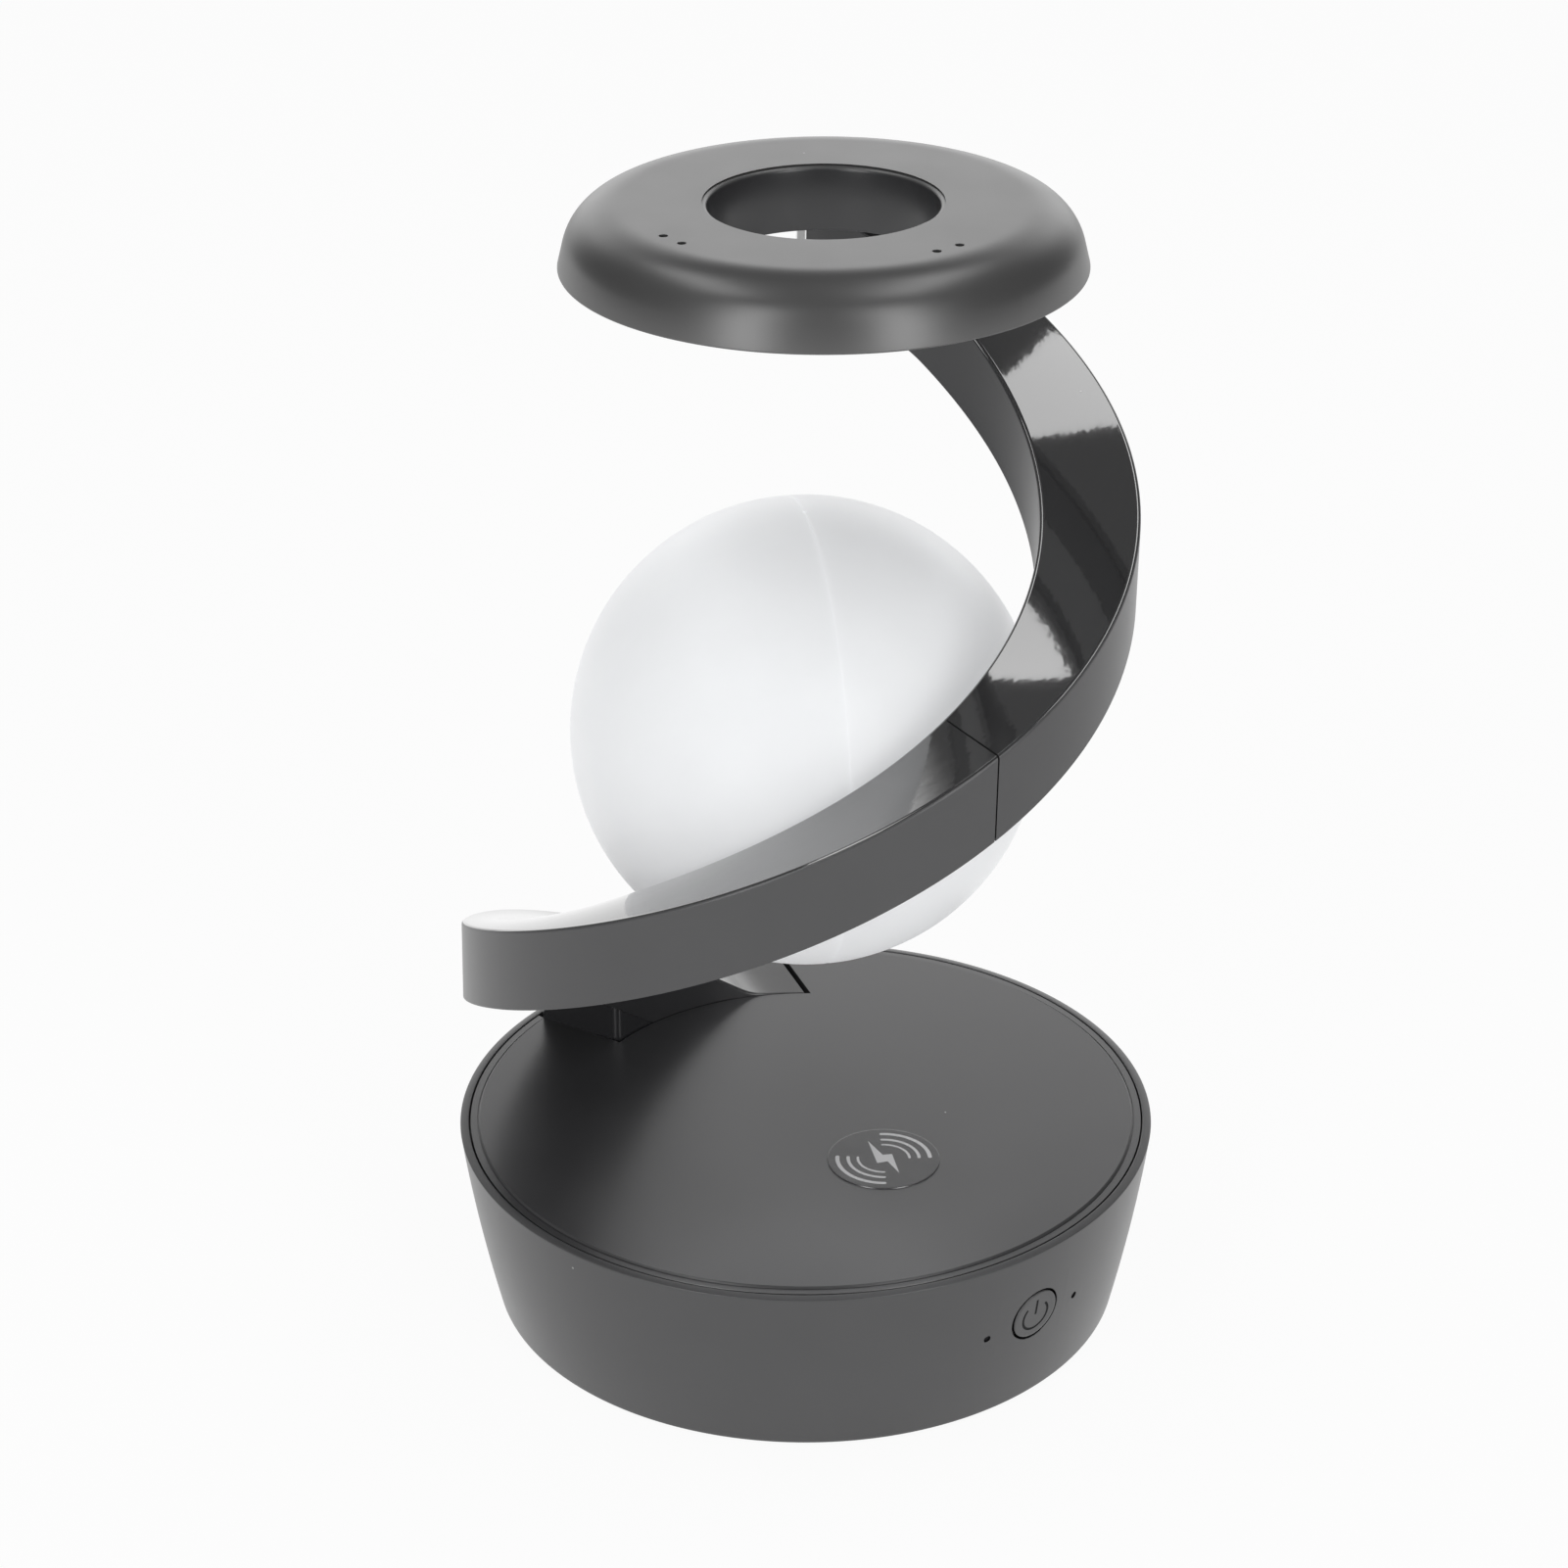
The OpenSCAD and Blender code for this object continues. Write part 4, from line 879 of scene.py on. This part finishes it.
def drill_head(points, faces, per_turn, turns, az):
    """Drills a vent through the flat top of the head."""
    centre = polar(VENT_RING_R, az, HEAD_TOP)

    def to_flat(point):
        return (point - centre).to_2d()

    def to_surface(flat):
        return centre + flat.to_3d()

    middle = round(az / 360 * turns)
    row = round((VENT_RING_R - HOLE_R - HOLE_EDGE) / FLAT_STEP)
    drill(
        points, faces, per_turn, (middle - 2, middle + 2), (row - 2, row + 2),
        to_flat, to_surface, VENT_R, Vector((0, 0, -TUBE_DEPTH))
    )


# Ball

def ball_half(name, side, node_name):
    """Half of the ball, closed by its inner wall, with a fine groove along the seam."""
    rings = []
    pole = 89.5
    for az in steps(0, 180, 2):
        edge = min(az, 180 - az)
        groove = GROOVE_D * math.exp(-(edge / GROOVE_AZ) ** 2)
        ring = []
        for low, high, radius in ((-pole, pole, BALL_R - groove), (pole, -pole, BALL_R - BALL_WALL)):
            for up in steps(low, high, 2):
                r = radius * math.cos(math.radians(up))
                ring.append(polar(r, BALL_SEAM_AZ + side * az, radius * math.sin(math.radians(up))))
        rings.append([p + Vector((0, BALL_Y, BALL_Z)) for p in (ring if side > 0 else ring[::-1])])
    half = loft(name, rings)
    return dress(half, [BALL_MILK_PAINTED_GLOW], "ball", "milk_plastic", node_name)


# Controls

def button_place(out):
    """Matrix of a plane square to the button's axis, a distance out of the side wall."""
    origin, sideways, upward, outward = at_wall(BUTTON_AZ, BUTTON_DOWN)
    turned = Matrix((sideways, upward, outward)).transposed().to_4x4()
    return Matrix.Translation(origin + outward * out) @ turned


def power_button():
    """Round button cap with its rounded edge and the power sign cut into its face."""
    face_t = 0.00014
    face_r = BUTTON_R - 0.0009
    edge = 0.0003
    outline = rounded([
        (FINE, -BUTTON_CAP_T, 0), (BUTTON_R, -BUTTON_CAP_T, 0), (BUTTON_R, 0, edge),
        (face_r, 0, 0), (face_r, -face_t, 0), (FINE, -face_t, 0)
    ])
    cap = lathe("button_cap", outline, 96)
    dress(cap, [SATIN_GREY, RECESS_PAINTED_SHADE], "button", "satin_grey", "power_button")
    # The cap's side below its rounded edge takes the near black: painted shade in the gap round the button
    for polygon in cap.data.polygons:
        if polygon.center.z < -edge:
            polygon.material_index = 1
    cap.data.transform(button_place(0))
    disc = [polar(face_r, a).to_2d() for a in range(0, 360, 5)]
    sign_r = 0.0034
    stroke = 0.0006
    bar_top = 0.0038
    ring = arc_stroke(sign_r, 140, 401, stroke, (0, -0.0003))
    bar = [Vector(p) for p in (
        (-stroke / 2, 0), (stroke / 2, 0), (stroke / 2, bar_top), (-stroke / 2, bar_top)
    )]
    face = cut_sheet("button_face", [disc, ring, bar], face_t, button_place(-face_t / 2), 2 * FINE)
    dress(face, [SATIN_GREY], "button", "satin_grey")
    # Near black floor seen through the cut strokes: painted shade in the engraved sign
    sign_floor = cut_sheet("button_sign_floor", [disc], 4 * FINE, button_place(-face_t + 3 * FINE))
    return dress(sign_floor, [RECESS_PAINTED_SHADE], "button", "satin_grey")


def charging_mark():
    """Clear round label with the pictogram for charging without a wire."""
    centre = polar(MARK_RING_R, MARK_AZ)
    top = PLATE_Z + MARK_T
    film = lathe("mark_disc", rounded([
        (FINE, PLATE_Z, 0), (MARK_R, PLATE_Z, 0), (MARK_R - 10 * FINE, top, 8 * FINE),
        (MARK_R - 40 * FINE, top, 0), (MARK_R / 2, top, 0), (FINE, top, 0)
    ]), 128, (centre.x, centre.y))
    dress(film, [MARK_FILM], "lamp", "clear_label", "charge_mark")
    outlines = []
    for radius, width in ((0.00985, 0.00085), (0.00755, 0.0007), (0.0055, 0.00055)):
        outlines.append(arc_stroke(radius, 3, 92, width))
        outlines.append(arc_stroke(radius, 176, 270, width))
    bolt = (
        (-0.0033, 0.0071), (-0.0014, -0.0019), (0.0008, -0.0012),
        (0.0032, -0.0059), (0.0018, 0.0017), (-0.0002, 0.0014)
    )
    outlines.append([Vector(p) for p in bolt])
    place = Matrix.Translation(centre + Vector((0, 0, top)))
    sign = cut_sheet("mark_sign", outlines, 3 * FINE, place)
    return dress(sign, [SIGN_LIGHT], "lamp", "clear_label")


def finish_cad_nodes():
    """Gives each carried-over CAD node the finish of its record slot, or its own."""
    for part in frame["record"]["subparts"]:
        material = NODE_FINISH.get(part["node"], SLOT_FINISH[part["material_slot"]])
        mesh = frame["nodes"][part["node"]].data
        mesh.materials.clear()
        mesh.materials.append(material)


# Stage, light and camera

def floor():
    """Wide pale floor, near white to the camera, that keeps the object's shadow."""
    reach = 6.0
    low = -10 * FINE
    sheet = add_mesh("floor", [
        (-reach, -reach, low), (reach, -reach, low), (reach, reach, low), (-reach, reach, low)
    ], [(0, 1, 2, 3)])
    material = bpy.data.materials.new("pale_floor")
    material.use_nodes = True
    tree = material.node_tree
    tree.nodes.clear()
    pale = node(tree, "ShaderNodeBsdfDiffuse", Color=(0.86, 0.86, 0.86, 1))
    glow = node(tree, "ShaderNodeEmission", Color=(1, 1, 1, 1), Strength=1.0)
    mix = tree.nodes.new("ShaderNodeMixShader")
    path = tree.nodes.new("ShaderNodeLightPath")
    seen = maths(tree, "MAXIMUM", path.outputs["Is Camera Ray"], path.outputs["Is Glossy Ray"])
    link(tree, maths(tree, "MULTIPLY", seen, FLOOR_GLOW), mix.inputs[0])
    link(tree, pale.outputs[0], mix.inputs[1])
    link(tree, glow.outputs[0], mix.inputs[2])
    link(tree, mix.outputs[0], tree.nodes.new("ShaderNodeOutputMaterial").inputs["Surface"])
    sheet.data.materials.append(material)


def studio_world():
    """White to the camera; as light, a bright backdrop behind the object in a dim room."""
    world = bpy.data.worlds.new("studio")
    bpy.context.scene.world = world
    world.use_nodes = True
    tree = world.node_tree
    tree.nodes.clear()
    path = tree.nodes.new("ShaderNodeLightPath")
    place = tree.nodes.new("ShaderNodeTexCoord")
    parts = tree.nodes.new("ShaderNodeSeparateXYZ")
    link(tree, place.outputs["Generated"], parts.inputs[0])
    behind = eased(tree, parts.outputs["Y"], *BACKDROP_BEHIND)
    sideways = maths(tree, "ABSOLUTE", parts.outputs["X"], 0)
    height = maths(tree, "MULTIPLY_ADD", sideways, -BACKDROP_SAG)
    link(tree, parts.outputs["Z"], height.node.inputs[2])
    below_top = maths(tree, "SUBTRACT", 1.0, eased(tree, height, *BACKDROP_TOP))
    between = maths(tree, "SUBTRACT", 1.0, eased(tree, sideways, *BACKDROP_SIDES))
    backdrop = maths(tree, "MULTIPLY", maths(tree, "MULTIPLY", behind, between), below_top)
    room = maths(tree, "MULTIPLY_ADD", backdrop, BACKDROP_LIGHT - ROOM_LIGHT)
    room.node.inputs[2].default_value = ROOM_LIGHT
    seen = node(tree, "ShaderNodeMix", data_type="FLOAT")
    link(tree, path.outputs["Is Camera Ray"], seen.inputs["Factor"])
    link(tree, room, seen.inputs["A"])
    seen.inputs["B"].default_value = 1.0
    light = node(tree, "ShaderNodeBackground", Color=(1, 1, 1, 1))
    link(tree, seen.outputs["Result"], light.inputs["Strength"])
    link(tree, light.outputs[0], tree.nodes.new("ShaderNodeOutputWorld").inputs["Surface"])


def soft_box(name, place, target, size, power):
    """Rectangular lamp turned towards a point."""
    lamp = bpy.data.lights.new(name, "AREA")
    lamp.shape = "RECTANGLE"
    lamp.size, lamp.size_y = size
    lamp.energy = power
    holder = bpy.data.objects.new(name, lamp)
    holder.location = place
    holder.rotation_euler = (Vector(target) - Vector(place)).to_track_quat("-Z", "Y").to_euler()
    bpy.context.scene.collection.objects.link(holder)


def camera():
    """Camera at the viewing angle of the photograph."""
    height = 0.4458
    distance = 0.7429
    pitch, yaw, roll = 0.4592, -0.0059, -0.0041
    ahead = Vector((
        math.sin(yaw) * math.cos(pitch), math.cos(yaw) * math.cos(pitch), -math.sin(pitch)
    ))
    right = Vector((math.cos(yaw), -math.sin(yaw), 0))
    upward = right.cross(ahead)
    turned_right = right * math.cos(roll) + upward * math.sin(roll)
    turned_up = upward * math.cos(roll) - right * math.sin(roll)
    data = bpy.data.cameras.new("camera")
    data.sensor_width = 36
    data.lens = 91.117
    holder = bpy.data.objects.new("camera", data)
    axes = Matrix((turned_right, turned_up, -ahead)).transposed().to_4x4()
    holder.matrix_world = Matrix.Translation((0, -distance, RIM_Z + height)) @ axes
    bpy.context.scene.collection.objects.link(holder)
    bpy.context.scene.camera = holder


camera()
floor()
studio_world()
for name, x in CEILING_STRIPS.items():
    soft_box(name, (x, CEILING_Y, CEILING_Z), (x, CEILING_Y, 0), CEILING_SIZE, CEILING_WATTS)
for name, x in FRONT_STRIPS.items():
    soft_box(name, (x, FRONT_Y, FRONT_Z), (0, 0, FRONT_Z), FRONT_SIZE, FRONT_WATTS)

finish_cad_nodes()
base_drum()
top_plate()
arm_moulding("arm_lower_moulding", ARM_START, SEAM_AZ - SEAM_GAP, "lower_arm")
arm_moulding("arm_upper_moulding", SEAM_AZ + SEAM_GAP, ARM_END, "upper_arm")
arm_foot()
head_cover()
ball_half("ball_right_half", 1, "ball_shell_right")
ball_half("ball_left_half", -1, "ball_shell_left")
power_button()
charging_mark()

bpy.context.scene.view_settings.view_transform = "Standard"
